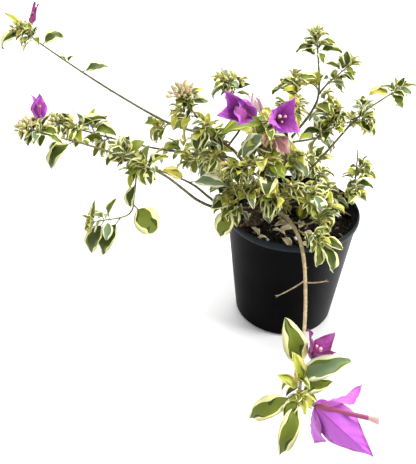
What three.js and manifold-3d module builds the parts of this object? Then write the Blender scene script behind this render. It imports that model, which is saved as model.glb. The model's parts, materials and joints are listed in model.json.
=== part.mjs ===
// A potted bougainvillea with cream-edged leaves: arching canes from one short trunk in a round nursery pot.
// Millimetres, +Z up. The origin is the centre of the pot's flat underside, and the longest front cane
// reaches out along -Y. Bearings are in degrees, anticlockwise from +X as seen from above.
import * as THREE from "three";
import { mergeVertices } from "three/addons/utils/BufferGeometryUtils.js";
import Module from "manifold-3d";

const wasm = await Module();
wasm.setup();

const CLEARANCE = 0.3; // between two pieces that touch
const UP = new THREE.Vector3(0, 0, 1);

const POT = {
  height: 158,
  rimRadius: 82.5,
  topRadius: 79.6, // of the wall just under the rim band
  baseRadius: 64.5,
  bandHeight: 9,
  wall: 1.8,
  floor: 2.6,
  edgeRounding: 5,
  sides: 32,
  drainHoles: 6,
  drainRadius: 6,
  drainRing: 46,
};
const SOIL = { top: 140, floorGap: CLEARANCE };
const TRUNK = {
  foot: [-50, -6],
  height: 50,
  leanDeg: 14, // towards +X
  neckRadius: 5.4,
  flare: 6,
  flareHeight: 7,
  sides: 10,
  rings: 8,
};
const BASE_HEIGHT = SOIL.top + CLEARANCE;

const LIMB_SIDES = 5;
const TWIG_SIDES = 3;
const RING_STEP = 21; // along a cane, between its rings
const GOLDEN_TURN = THREE.MathUtils.degToRad(137.5);

const LEAF = {
  width: 0.52, // shares of the blade's length
  stalk: 0.2,
  widest: 0.42,
  keel: 0.045,
  fold: 0.06,
  dip: 0.16, // how far the tip falls below the blade's root
};
const BRACT = { ...LEAF, width: 0.78, stalk: 0.04, widest: 0.45, fold: 0.1, dip: -0.08 };
const FLORET = { share: 0.55, radius: 1.5 };
const BUD = { width: 2.7, widest: 0.4, sides: 5, openest: 15 }; // a bloom opened less is a closed bud
const SPUR = { base: 4, perLeaf: 2.4, radius: 0.95, angle: THREE.MathUtils.degToRad(48) };
const TIP_STRETCH = 16; // the length of stem that a tip's leaves leave from
const OWN_SPACE = 1.6; // a leaf stays this much nearer to its own twigs than to another mass's
const LIMB_CLEAR = 1.1; // between a leaf and a bough's bark
const LONE_CLEAR = 2.6; // between a lone leaf and another mass's twigs
const POT_CLEAR = 2.2;
const LEAF_CLEAR = 0.17; // between two leaves' outer halves, as a share of a blade's length
const TURNS_TRIED = 7;

// One cane each. root and tip are its radii. through lists [reach, bearing, height] of the points that it
// arches through, from the trunk's foot and the ground. bough is the share of its length that is a bare limb,
// and at is the height up the trunk or the share of the parent cane that it leaves from. Each cluster is
// [share along the cane, leaves, blade length], and each bloom is [share, bearing, rise, stalk, bract length,
// opening, turn of its first bract]. A lone leaf is [share, bearing, rise, blade length, breadth where it
// isn't 1], and a snag, a short dead twig, is [share, turn, length].
const CANES = [
  {
    name: "high_left", parent: "trunk", at: 42, root: 2.3, tip: 0.8, bough: 0.4,
    through: [[26, 147, 229], [59, 159, 247], [107, 166, 263], [181, 169, 306], [261, 170, 360]],
    clusters: [[0.43, 3, 26], [0.48, 1, 20], [0.95, 3, 14], [1, 6, 16]],
    lone: [[0.77, 0, 10, 26, 0.8], [0.82, 0, 51, 8], [0.83, 180, 44, 7], [0.92, 0, 18, 22, 0.8],
      [0.98, 180, -29, 28, 0.8], [0.99, 180, 50, 21, 0.6]],
    blooms: [[0.975, 10, 66, 14, 23, 8]],
  },
  {
    name: "low_left", parent: "trunk", at: 31, root: 2.2, tip: 0.8, bough: 0.36,
    through: [[20, -173, 225], [64, -175, 236], [129, -177, 248], [219, -177, 277]],
    clusters: [[0.41, 3, 24], [0.46, 3, 24], [0.53, 2, 22], [0.78, 3, 26], [0.84, 3, 25], [0.9, 3, 22],
      [0.95, 3, 18], [1, 5, 15]],
    lone: [[0.92, 8, 15, 29, 0.7], [0.85, -17, 1, 23]],
    blooms: [],
  },
  {
    name: "bloom_left", parent: "trunk", at: 19, root: 2.3, tip: 0.8, bough: 0.52,
    through: [[42, -151, 173], [73, -152, 192], [118, -153, 239], [178, -155, 278], [241, -157, 307]],
    clusters: [[0.57, 3, 26], [0.64, 4, 22], [0.8, 1, 16], [0.9, 2, 22], [0.95, 3, 18], [1, 6, 16]],
    lone: [[0.85, -157, -46, 31], [0.94, -27, -19, 16], [0.97, -146, -49, 14]],
    blooms: [[0.957, 80, 81, 15, 23, 13]],
  },
  {
    name: "pair_left", parent: "bloom_left", at: 0.17, root: 1.9, tip: 0.8, bough: 0.36,
    through: [[58, -158, 190], [86, -157, 218], [146, -160, 252]],
    clusters: [[0.72, 2, 28], [0.86, 4, 26], [1, 7, 22]],
    lone: [[0.44, -13, 0, 37], [0.48, 180, 22, 24], [0.84, 0, 25, 22, 0.7], [0.98, -18, -36, 27, 0.8]],
    blooms: [],
  },
  {
    name: "drooping_left", parent: "pair_left", at: 0.93, root: 1.2, tip: 0.7, bough: 0,
    through: [[146, -156, 216], [155, -156, 192], [193, -157, 191]],
    clusters: [[1, 3, 20]],
    lone: [[0.2, -147, -73, 26, 0.8], [0.47, -26, -55, 32, 1.5], [0.7, -149, -59, 40],
      [0.83, 0, 67, 26, 0.6], [0.88, -156, -63, 36], [1, 54, 76, 22, 0.6]],
    blooms: [],
  },
  {
    name: "budding", parent: "low_left", at: 0.16, root: 1.9, tip: 0.9, bough: 0.3,
    through: [[33, -158, 222], [60, -162, 273], [83, -166, 310]],
    clusters: [[0.36, 3, 24], [0.5, 3, 24], [0.64, 3, 26], [0.8, 4, 26], [0.9, 3, 22], [1, 6, 12]],
    blooms: [],
  },
  {
    name: "tuft_left", parent: "high_left", at: 0.21, root: 1.6, tip: 0.8, bough: 0,
    through: [[32, 117, 263], [51, 132, 307]],
    clusters: [[0.45, 2, 24], [0.78, 3, 24], [0.9, 3, 22], [1, 8, 14]],
    blooms: [],
  },
  {
    name: "top", parent: "trunk", at: 49, root: 2.4, tip: 0.8, bough: 0.36,
    through: [[27, 27, 220], [66, 21, 271], [77, 23, 299], [76, 33, 356]],
    clusters: [[0.5, 3, 24], [0.6, 3, 24], [0.68, 3, 24], [1, 6, 16]],
    lone: [[0.88, 163, 13, 16], [0.9, -80, -15, 18], [0.91, -19, 1, 22], [0.93, 90, -5, 20],
      [0.94, 180, -17, 20], [0.96, 0, -11, 19]],
    blooms: [],
  },
  {
    name: "top_left", parent: "top", at: 0.53, root: 1.3, tip: 0.7, bough: 0,
    through: [[44, 22, 297], [43, 22, 317]],
    clusters: [[0.6, 3, 24], [1, 5, 18]],
    lone: [[0.88, 180, -29, 21, 0.7], [0.96, 0, 3, 20]],
    blooms: [],
  },
  {
    name: "top_right", parent: "top", at: 0.66, root: 1.3, tip: 0.7, bough: 0,
    through: [[86, 21, 306], [112, 20, 326]],
    clusters: [[0.35, 3, 18], [1, 4, 18]],
    lone: [[0.74, 180, 22, 18], [0.76, -19, -39, 16], [0.87, 0, 16, 15, 0.8], [0.88, 90, -10, 18]],
    blooms: [],
  },
  {
    name: "crown_top", parent: "top", at: 0.4, root: 1.5, tip: 0.8, bough: 0,
    through: [[33, 18, 281], [46, 14, 291]],
    clusters: [[0.45, 3, 24], [0.7, 4, 24], [1, 5, 22]],
    blooms: [],
  },
  {
    name: "right_mid", parent: "top", at: 0.32, root: 1.6, tip: 0.8, bough: 0.4,
    through: [[73, 24, 238], [90, 22, 243], [105, 22, 268]],
    clusters: [[0.5, 3, 30], [0.7, 3, 26], [0.85, 3, 24], [1, 5, 20]],
    lone: [[0.62, 180, 3, 20], [0.92, -50, -8, 15]],
    blooms: [],
  },
  {
    name: "bloom_centre", parent: "top", at: 0.14, root: 1.9, tip: 1, bough: 0.32,
    through: [[12, -65, 231], [30, -68, 284]],
    clusters: [[0.42, 3, 30], [0.6, 3, 30], [0.75, 3, 30], [0.93, 2, 24]],
    lone: [[0.88, -155, -42, 32], [0.96, 110, -10, 30], [0.97, -10, -20, 28], [1, -174, -11, 44, 0.8],
      [0.64, -46, -48, 22, 1.2]],
    blooms: [[1, -136, 30, 34, 46, 17, 58], [1, -76, 30, 24, 37, 32, -3], [0.96, 180, 59, 20, 22, 10],
      [0.92, -106, -62, 6, 20, 14], [0.92, -25, -45, 14, 22, 14]],
  },
  {
    name: "inner_centre", parent: "bloom_centre", at: 0.24, root: 1.4, tip: 0.8, bough: 0,
    through: [[26, -66, 222], [39, -77, 241]],
    clusters: [[0.55, 3, 30], [0.8, 3, 30], [1, 4, 28]],
    lone: [[1, -48, -12, 24, 1.3]],
    blooms: [],
  },
  {
    name: "inner_back", parent: "top", at: 0.12, root: 1.5, tip: 0.8, bough: 0,
    through: [[34, 33, 204], [49, 22, 219]],
    clusters: [[0.45, 3, 28], [0.7, 3, 28], [1, 4, 30]],
    lone: [[0.66, -36, -29, 22], [0.99, -44, -33, 24]],
    blooms: [],
  },
  {
    name: "crown_left", parent: "low_left", at: 0.07, root: 1.6, tip: 0.8, bough: 0,
    through: [[24, -118, 208], [49, -122, 236]],
    clusters: [[0.4, 3, 24], [0.6, 4, 26], [0.8, 4, 26], [1, 5, 25]],
    blooms: [],
  },
  {
    name: "crown_low_left", parent: "bloom_left", at: 0.09, root: 1.5, tip: 0.8, bough: 0,
    through: [[22, -158, 186], [47, -146, 208]],
    clusters: [[0.4, 3, 26], [0.6, 4, 26], [0.8, 4, 27], [1, 5, 26]],
    blooms: [],
  },
  {
    name: "inner_left", parent: "trunk", at: 26, root: 1.5, tip: 0.8, bough: 0,
    through: [[19, -105, 187], [35, -105, 206]],
    clusters: [[0.4, 3, 24], [0.6, 3, 26], [0.8, 3, 26], [1, 5, 26]],
    blooms: [],
  },
  {
    name: "left_rim", parent: "trunk", at: 10, root: 1.5, tip: 0.9, bough: 0,
    through: [[18, -112, 162], [42, -130, 186]],
    clusters: [[0.5, 2, 28], [0.8, 3, 28], [1, 3, 24]],
    lone: [[0.97, -66, -58, 22], [1, -134, -66, 34, 1.2]],
    blooms: [],
  },
  {
    name: "right", parent: "trunk", at: 24, root: 2.4, tip: 0.8, bough: 0.6,
    through: [[36, 3, 174], [89, 14, 225], [130, 17, 265], [184, 19, 291]],
    clusters: [[0.65, 4, 18], [0.7, 5, 18], [0.75, 4, 18], [1, 6, 17]],
    lone: [[0.68, -11, -31, 26, 0.8], [0.93, -61, -26, 20], [0.93, 180, -5, 22, 0.7], [0.96, 180, 12, 17],
      [0.97, 80, -10, 18], [1, 0, 2, 15, 0.7]],
    blooms: [],
  },
  {
    name: "rim_right", parent: "trunk", at: 15, root: 1.9, tip: 0.7, bough: 0.21,
    through: [[62, 12, 163], [103, 14, 163], [133, 15, 166], [137, 17, 199], [135, 17, 222]],
    clusters: [[0.28, 3, 24], [0.37, 4, 24], [0.46, 4, 26], [0.55, 3, 26], [0.63, 3, 24], [0.74, 4, 20],
      [0.83, 4, 16]],
    lone: [[0.5, -62, -20, 22, 1.2], [0.67, -29, -16, 22], [0.74, -23, -6, 20], [0.84, -29, -16, 22, 0.8],
      [0.71, -127, -13, 18]],
    blooms: [],
  },
  {
    name: "front", parent: "trunk", at: 9, root: 2.7, tip: 1.4, bough: 0.82,
    through: [[18, -52, 165], [51, -44, 170], [101, -62, 168], [166, -75, 153], [282, -86, 161]],
    clusters: [[1, 3, 18]],
    lone: [[0.92, 113, 47, 40, 1.2], [0.95, 0, 32, 38, 1.1], [0.96, 129, 66, 26, 0.7],
      [0.98, 170, 35, 20, 0.8], [0.99, 0, 28, 24], [1, 180, -38, 40, 0.8], [1, -118, -46, 41, 0.7],
      [1, -137, -34, 18], [1, 10, -55, 16]],
    blooms: [[0.93, 14, 66, 20, 30, 32, 116], [1, -1, -42, 20, 57, 41, 24]],
    snags: [[0.52, -0.85, 28], [0.51, 2.7, 32]],
  },
  {
    name: "inner_front", parent: "front", at: 0.05, root: 1.4, tip: 0.8, bough: 0,
    through: [[25, -62, 180], [41, -63, 197]],
    clusters: [[0.6, 3, 26], [1, 6, 28]],
    blooms: [],
  },
  {
    name: "inner_mid", parent: "trunk", at: 14, root: 1.5, tip: 0.8, bough: 0,
    through: [[28, -32, 176], [49, -35, 195]],
    clusters: [[0.45, 3, 24], [0.62, 3, 26], [0.8, 4, 26], [1, 5, 25]],
    blooms: [],
  },
  {
    name: "inner_right", parent: "rim_right", at: 0.238, root: 1.3, tip: 0.8, bough: 0,
    through: [[64, -2, 173], [72, -12, 186]],
    clusters: [[0.5, 3, 24], [0.8, 4, 25], [1, 5, 25]],
    blooms: [],
  },
  {
    name: "front_right", parent: "front", at: 0.27, root: 1.2, tip: 0.7, bough: 0,
    through: [[101, -56, 178], [111, -54, 178]],
    clusters: [[0.6, 2, 24], [1, 4, 20]],
    lone: [[0.97, -17, -18, 24, 0.8], [0.98, -87, -73, 26], [1, -32, -61, 35]],
    blooms: [],
  },
  {
    name: "front_up", parent: "front", at: 0.22, root: 1.2, tip: 0.7, bough: 0,
    through: [[89, -49, 183], [98, -38, 199]],
    clusters: [[0.6, 3, 22], [1, 5, 24]],
    blooms: [],
  },
  {
    name: "back", parent: "trunk", at: 36, root: 2.2, tip: 0.8, bough: 0.3,
    through: [[52, 78, 212], [98, 78, 218], [150, 80, 188]],
    clusters: [[0.42, 3, 28], [0.55, 3, 28], [0.68, 4, 28], [0.82, 3, 26], [1, 5, 24]],
    blooms: [[0.9, 70, 30, 10, 38, 34]],
  },
  {
    name: "back_left", parent: "back", at: 0.16, root: 1.9, tip: 0.8, bough: 0.34,
    through: [[52, 128, 205], [92, 122, 196], [130, 118, 158]],
    clusters: [[0.42, 3, 28], [0.56, 3, 28], [0.72, 4, 28], [0.86, 3, 26], [1, 5, 24]],
    blooms: [],
  },
  {
    name: "back_right", parent: "back", at: 0.28, root: 1.9, tip: 0.8, bough: 0.34,
    through: [[88, 56, 192], [124, 50, 176], [158, 47, 138]],
    clusters: [[0.42, 3, 28], [0.56, 3, 28], [0.72, 4, 26], [0.86, 3, 24], [1, 5, 22]],
    blooms: [],
  },
];

const MATERIALS = {
  pot: new THREE.MeshStandardMaterial({ color: 0x15171a, roughness: 0.45, metalness: 0 }),
  soil: new THREE.MeshStandardMaterial({ color: 0x1d1611, roughness: 1, metalness: 0 }),
  bark: new THREE.MeshStandardMaterial({ color: 0x6b5640, roughness: 0.85, metalness: 0 }),
  foliage: new THREE.MeshStandardMaterial({ color: 0x8f9c52, roughness: 0.55, metalness: 0 }),
};

// Repeatable numbers from 0 to 1.
function seeded(seed) {
  let state = seed >>> 0;
  return () => {
    state = (state + 0x6d2b79f5) >>> 0;
    let mixed = Math.imul(state ^ (state >>> 15), state | 1);
    mixed ^= mixed + Math.imul(mixed ^ (mixed >>> 7), mixed | 61);
    return ((mixed ^ (mixed >>> 14)) >>> 0) / 2 ** 32;
  };
}

// A closed three.js geometry as a solid.
function solidOf(geometry) {
  const bare = geometry.clone();
  bare.deleteAttribute("normal");
  bare.deleteAttribute("uv");
  const merged = mergeVertices(bare, 1e-4);
  return new wasm.Manifold(
    new wasm.Mesh({
      numProp: 3,
      vertProperties: new Float32Array(merged.attributes.position.array),
      triVerts: new Uint32Array(merged.index.array),
    }),
  );
}

// A solid as a named mesh.
function meshOf(name, solid, material) {
  const { vertProperties, triVerts } = solid.getMesh();
  const geometry = new THREE.BufferGeometry()
    .setAttribute("position", new THREE.BufferAttribute(new Float32Array(vertProperties), 3))
    .setIndex(new THREE.BufferAttribute(new Uint32Array(triVerts), 1));
  const mesh = new THREE.Mesh(geometry, material);
  mesh.name = name;
  return mesh;
}

// The largest of a solid's bodies, with any cavity filled and any loose scrap dropped.
function soundBody(solid) {
  const bodies = solid.decompose();
  return bodies.reduce((largest, body) => (body.volume() > largest.volume() ? body : largest));
}

const joined = (solids) => solids.reduce((whole, solid) => whole.add(solid));

// Moves each vertex of a geometry to place(x, y, z).
function reshape(geometry, place) {
  const positions = geometry.attributes.position;
  for (let i = 0; i < positions.count; i += 1) {
    const moved = place(positions.getX(i), positions.getY(i), positions.getZ(i));
    positions.setXYZ(i, moved.x, moved.y, moved.z);
  }
  return geometry;
}

// --- pot, soil and trunk ------------------------------------------------------------------------

// The wall's outer radius at a height, under the rim band.
const wallRadius = (height) =>
  POT.baseRadius + ((POT.topRadius - POT.baseRadius) * height) / (POT.height - POT.bandHeight);

function lathe(profile) {
  const geometry = new THREE.LatheGeometry(profile.map(([r, z]) => new THREE.Vector2(r, z)), POT.sides);
  return solidOf(geometry.rotateX(Math.PI / 2));
}

function potSolid() {
  const bandFoot = POT.height - POT.bandHeight;
  const inner = (height) => wallRadius(Math.min(height, bandFoot)) - POT.wall;
  const shell = lathe([
    [0, 0],
    [POT.baseRadius - POT.edgeRounding, 0],
    [POT.baseRadius - POT.edgeRounding * 0.3, POT.edgeRounding * 0.3],
    [wallRadius(POT.edgeRounding), POT.edgeRounding],
    [wallRadius(bandFoot), bandFoot],
    [POT.rimRadius - 0.6, bandFoot + 1.2],
    [POT.rimRadius, bandFoot + 3],
    [POT.rimRadius, POT.height - 1.6],
    [POT.rimRadius - 1.4, POT.height],
    [inner(POT.height) + 0.8, POT.height],
    [inner(POT.height), POT.height - 1.2],
    [inner(bandFoot), bandFoot],
    [inner(POT.floor), POT.floor],
    [0, POT.floor],
  ]);
  const holes = Array.from({ length: POT.drainHoles }, (_, i) => {
    const turn = (i * 2 * Math.PI) / POT.drainHoles;
    const drill = new THREE.CylinderGeometry(POT.drainRadius, POT.drainRadius, POT.floor * 4, 12);
    drill.rotateX(Math.PI / 2).translate(POT.drainRing * Math.cos(turn), POT.drainRing * Math.sin(turn), 0);
    return solidOf(drill);
  });
  return shell.subtract(joined(holes));
}

function soilSolid() {
  const radius = (height) => wallRadius(Math.min(height, POT.height)) - POT.wall - CLEARANCE * 1.5;
  const foot = POT.floor + SOIL.floorGap;
  return lathe([
    [0, foot],
    [radius(foot), foot],
    [radius(SOIL.top - 3), SOIL.top - 3],
    [radius(SOIL.top) - 3, SOIL.top],
    [0, SOIL.top],
  ]);
}

// A point on the trunk's axis, at a height above its foot.
function trunkPoint(height) {
  const lean = Math.tan(THREE.MathUtils.degToRad(TRUNK.leanDeg));
  return new THREE.Vector3(TRUNK.foot[0] + lean * height, TRUNK.foot[1], BASE_HEIGHT + height);
}

function trunkRadius(height) {
  const flared = TRUNK.flare * Math.exp(-height / TRUNK.flareHeight);
  return TRUNK.neckRadius + flared - (0.9 * height) / TRUNK.height;
}

// The trunk in level rings, so that its foot is cut flat. extra makes it that much thicker all round.
function trunkSolid(extra = 0) {
  const column = new THREE.CylinderGeometry(1, 1, 1, TRUNK.sides, TRUNK.rings);
  const crown = TRUNK.height - 2.2;
  reshape(column, (x, y, z) => {
    const share = (y + 0.5) ** 1.5;
    const height = share * TRUNK.height;
    const radius = (height > crown ? trunkRadius(height) * 0.6 : trunkRadius(height)) + extra;
    const end = share > 0.99 ? extra : 0;
    return trunkPoint(height).add(new THREE.Vector3(z * radius, x * radius, end));
  });
  return solidOf(column);
}

// --- canes --------------------------------------------------------------------------------------

const byName = new Map();

function pointAt([reach, bearing, height]) {
  const turn = THREE.MathUtils.degToRad(bearing);
  return new THREE.Vector3(
    TRUNK.foot[0] + reach * Math.cos(turn),
    TRUNK.foot[1] + reach * Math.sin(turn),
    height,
  );
}

// Gives a cane its curve, its length and the level direction square to its reach.
function layOut(cane) {
  const start = cane.parent === "trunk" ? trunkPoint(cane.at) : pointOn(byName.get(cane.parent), cane.at);
  const curve = new THREE.CatmullRomCurve3([start, ...cane.through.map(pointAt)], false, "catmullrom", 0.5);
  const reach = curve.getPoint(1).sub(start).setZ(0);
  const across = reach.length() > 12 ? new THREE.Vector3(-reach.y, reach.x, 0) : new THREE.Vector3(0, 1, 0);
  const length = curve.getLength();
  const rings = curve.getSpacedPoints(Math.max(2, Math.round(length / RING_STEP)));
  byName.set(cane.name, { ...cane, curve, length, rings, across: across.normalize() });
}

// A point on a cane's axis, which runs straight from ring to ring.
function pointOn({ rings }, share) {
  const place = THREE.MathUtils.clamp(share, 0, 1) * (rings.length - 1);
  const ring = Math.min(Math.floor(place), rings.length - 2);
  return rings[ring].clone().lerp(rings[ring + 1], place - ring);
}

// The place, direction and two square directions at a share of a cane's length.
function frameAt(cane, share) {
  const along = cane.curve.getTangentAt(share);
  const across = cane.across.clone().addScaledVector(along, -cane.across.dot(along)).normalize();
  const lift = new THREE.Vector3().crossVectors(across, along);
  return { point: pointOn(cane, share), along, across, lift };
}

const sideways = ({ across, lift }, turn) =>
  across.clone().multiplyScalar(Math.cos(turn)).addScaledVector(lift, Math.sin(turn));

// The direction that leans from one direction towards another, square to it, by an angle.
const leaning = (along, side, angle) =>
  along.clone().multiplyScalar(Math.cos(angle)).addScaledVector(side, Math.sin(angle));

const caneRadius = (cane, share) => cane.root + (cane.tip - cane.root) * share ** 0.8;

// A stretch of a cane as a tapering tube, thicker by extra.
function caneSolid(cane, from, to, sides, extra = 0) {
  const last = cane.rings.length - 1;
  const places = cane.rings.map((_, i) => i / last);
  const shares = [from, ...places.filter((share) => share > from + 0.01 && share < to - 0.01), to];
  const tube = new THREE.CylinderGeometry(1, 1, 1, sides, shares.length - 1);
  reshape(tube, (x, y, z) => {
    const share = shares[Math.round((y + 0.5) * (shares.length - 1))];
    const { point, across, lift } = frameAt(cane, share);
    const radius = caneRadius(cane, share) + extra;
    return point.addScaledVector(across, x * radius).addScaledVector(lift, z * radius);
  });
  return solidOf(tube);
}

// The turn from a three.js cylinder's own axis to another direction.
const turnedTo = (direction) =>
  new THREE.Quaternion().setFromUnitVectors(new THREE.Vector3(0, 1, 0), direction);

// A straight twig from one point to another.
function twigSolid(from, to, radius, endRadius) {
  const run = to.clone().sub(from);
  const twig = new THREE.CylinderGeometry(endRadius, radius, run.length(), TWIG_SIDES);
  twig.translate(0, run.length() / 2, 0);
  twig.applyQuaternion(turnedTo(run.normalize()));
  return solidOf(twig.translate(from.x, from.y, from.z));
}

const spurSolid = (from, to) => twigSolid(from, to, SPUR.radius, SPUR.radius * 0.6);

// Keeps a cane's first stretch clear of the limb that it leaves.
function clearOfParent(cane, solid) {
  if (cane.parent === "trunk") return soundBody(solid.subtract(trunkSolid(CLEARANCE)));
  const parent = byName.get(cane.parent);
  const near = Math.min(1, cane.at + 0.16);
  const far = Math.max(0, cane.at - 0.16);
  return soundBody(solid.subtract(caneSolid(parent, far, near, LIMB_SIDES, CLEARANCE * 1.5)));
}

// --- twigs, leaves and blooms -------------------------------------------------------------------

// A cane's leaf clusters, each with the short side twig or the stretch of stem that its leaves leave from.
function growSpurs(cane, draw) {
  return cane.clusters.map(([share, count, length], index) => {
    const frame = frameAt(cane, share);
    const turn = index * GOLDEN_TURN + draw() * 1.2;
    const reach = (SPUR.base + SPUR.perLeaf * count) * (0.85 + 0.3 * draw());
    const onStem = share === 1 || count < 3;
    const stretch = onStem ? (share === 1 ? TIP_STRETCH : 1) / cane.length : 0;
    const from = pointOn(cane, share - stretch);
    return { frame, turn, reach, count, length, onStem, from, share, stretch };
  });
}

// Where a cluster's twig ends when it is turned round its stem.
function aimSpur(spur, turn) {
  const heading = leaning(spur.frame.along, sideways(spur.frame, turn), SPUR.angle);
  const along = spur.onStem ? spur.frame.along : heading;
  const to = spur.onStem ? spur.frame.point : spur.from.clone().addScaledVector(heading, spur.reach);
  return { ...spur, turn, along, to };
}

// The direction at a bearing and a rise above level.
function headed(bearing, rise) {
  const [turn, lift] = [bearing, rise].map(THREE.MathUtils.degToRad);
  return new THREE.Vector3(Math.cos(turn) * Math.cos(lift), Math.sin(turn) * Math.cos(lift), Math.sin(lift));
}

// A cane's bloom stalks, each with the direction that the bloom faces.
function growStalks(cane) {
  return cane.blooms.map(([share, bearing, rise, stalk, bract, opening, turn = 29]) => {
    const axis = headed(bearing, rise);
    const from = pointOn(cane, share);
    const to = from.clone().addScaledVector(axis, stalk);
    const [spread, first] = [opening, turn].map(THREE.MathUtils.degToRad);
    return { from, to, axis, bract, closed: opening < BUD.openest, opening: spread, turn: first };
  });
}

// A blade's direction, upper side and breadth, from the way it leaves its twig.
function blade(root, direction, face, length, roll) {
  const along = direction.clone().normalize();
  const flat = face.clone().addScaledVector(along, -face.dot(along));
  if (flat.length() < 0.05) flat.set(along.y, -along.x, 0.2).addScaledVector(along, -0.2 * along.z);
  const upper = flat.normalize().applyAxisAngle(along, roll);
  return { root, along, upper, across: new THREE.Vector3().crossVectors(upper, along), length, breadth: 1 };
}

// A leaf that leaves its cane by itself.
function loneLeaf(cane, [share, bearing, rise, length, breadth = 1]) {
  return { ...blade(pointOn(cane, share), headed(bearing, rise), UP, length, 0), breadth };
}

// One of a cluster's leaves, turned round its twig by extraTurn.
function leafOf(cane, spur, index, chances, extraTurn) {
  const share = spur.count === 1 ? 0.5 : index / (spur.count - 1);
  const root = spur.onStem
    ? pointOn(cane, spur.share - spur.stretch * (1 - share))
    : spur.from.clone().lerp(spur.to, 0.25 + 0.75 * share);
  const level = spur.frame.across;
  const across = level.clone().addScaledVector(spur.along, -level.dot(spur.along)).normalize();
  const frame = { across, lift: new THREE.Vector3().crossVectors(across, spur.along) };
  const turn = spur.turn + index * GOLDEN_TURN + extraTurn + (chances[0] - 0.5) * 0.7;
  const spread = 1.25 - 0.6 * share + (chances[1] - 0.5) * 0.4;
  const droop = 0.12 + 0.4 * chances[2];
  const direction = leaning(spur.along, sideways(frame, turn), spread).addScaledVector(UP, -droop);
  const length = spur.length * (1 - 0.28 * share) * (0.86 + 0.28 * chances[3]);
  return blade(root, direction, UP, length, (chances[4] - 0.5) * 1.1);
}

// A point of a blade: along it from 0 at its twig to 1 at its tip, and across it from -1 to 1.
function bladePoint(leaf, form, share, side) {
  const stalk = leaf.length * form.stalk;
  const run = share * (leaf.length + stalk);
  const inBlade = Math.max(0, (run - stalk) / leaf.length);
  const half = (form.width / 2) * leaf.length * leaf.breadth;
  const wide = inBlade < form.widest ? inBlade / form.widest : (1 - inBlade) / (1 - form.widest);
  const lift = (form.fold * wide * Math.abs(side) - form.dip * inBlade ** 2) * leaf.length;
  return leaf.root.clone()
    .addScaledVector(leaf.along, run)
    .addScaledVector(leaf.across, side * half * wide)
    .addScaledVector(leaf.upper, lift);
}

// A leaf or bract as one closed solid: two three-sided cones foot to foot, from its root, through the keel
// and the two edges at its widest place, to its tip.
function bladeSolid(leaf, form) {
  const widest = (form.stalk + form.widest) / (form.stalk + 1);
  const kite = new THREE.CylinderGeometry(0, 0, 1, TWIG_SIDES, 2, true);
  const ringed = kite.attributes.position;
  const keel = bladePoint(leaf, form, widest, 0).addScaledVector(leaf.upper, -form.keel * leaf.length);
  const [left, right] = [-1, 1].map((side) => bladePoint(leaf, form, widest, side));
  const [tip, root] = [1, -0.02].map((share) => bladePoint(leaf, form, share, 0));
  [tip, tip, tip, tip, left, keel, right, left, root, root, root, root].forEach((corner, i) => {
    ringed.setXYZ(i, corner.x, corner.y, corner.z);
  });
  return solidOf(kite);
}

// A closed bloom: two cones foot to foot, as broad as its bracts have opened.
function budSolid({ to: root, axis, bract: length, opening }) {
  const bud = new THREE.CylinderGeometry(0, 0, length, BUD.sides, 2, true);
  const corners = bud.attributes.position;
  for (let i = BUD.sides + 1; i < 2 * (BUD.sides + 1); i += 1) {
    const turn = (i * 2 * Math.PI) / BUD.sides;
    const radius = (BUD.width / 2) * opening * length;
    corners.setXYZ(i, radius * Math.sin(turn), (BUD.widest - 0.5) * length, radius * Math.cos(turn));
  }
  bud.translate(0, length / 2 - 1.5, 0);
  bud.applyQuaternion(turnedTo(axis));
  return solidOf(bud.translate(root.x, root.y, root.z));
}

// Points spread over a blade, close enough together to feel a twig between them.
function bladeProbes(leaf, form) {
  const probes = [];
  for (let step = 1; step <= 7; step += 1) {
    for (const side of [-1, -0.5, 0, 0.5, 1]) probes.push(bladePoint(leaf, form, 0.16 + 0.12 * step, side));
  }
  return probes;
}

// --- the space that each mass keeps to ----------------------------------------------------------

function distanceTo({ from, to }, point) {
  const run = to.clone().sub(from);
  const share = THREE.MathUtils.clamp(point.clone().sub(from).dot(run) / run.lengthSq(), 0, 1);
  return point.distanceTo(from.clone().addScaledVector(run, share));
}

const outerHalf = (leaf) => ({ from: bladePoint(leaf, LEAF, 0.5, 0), to: bladePoint(leaf, LEAF, 1, 0) });

// A stretch of cane as short straight segments.
function segmentsOf(cane, from, to, owner) {
  const count = Math.max(2, Math.ceil(((to - from) * cane.length) / 8));
  return Array.from({ length: count }, (_, i) => ({
    owner,
    from: pointOn(cane, from + ((to - from) * i) / count),
    to: pointOn(cane, from + ((to - from) * (i + 1)) / count),
    radius: caneRadius(cane, from + ((to - from) * i) / count),
  }));
}

// True where a point keeps clear of the pot's wall, the soil and the ground.
function clearOfPot(point) {
  const radius = Math.hypot(point.x, point.y);
  if (point.z < POT_CLEAR) return false;
  if (point.z > POT.height + POT_CLEAR || radius > POT.rimRadius + POT_CLEAR) return true;
  return radius < POT.topRadius - POT.wall - POT_CLEAR && point.z > SOIL.top + 1;
}

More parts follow.
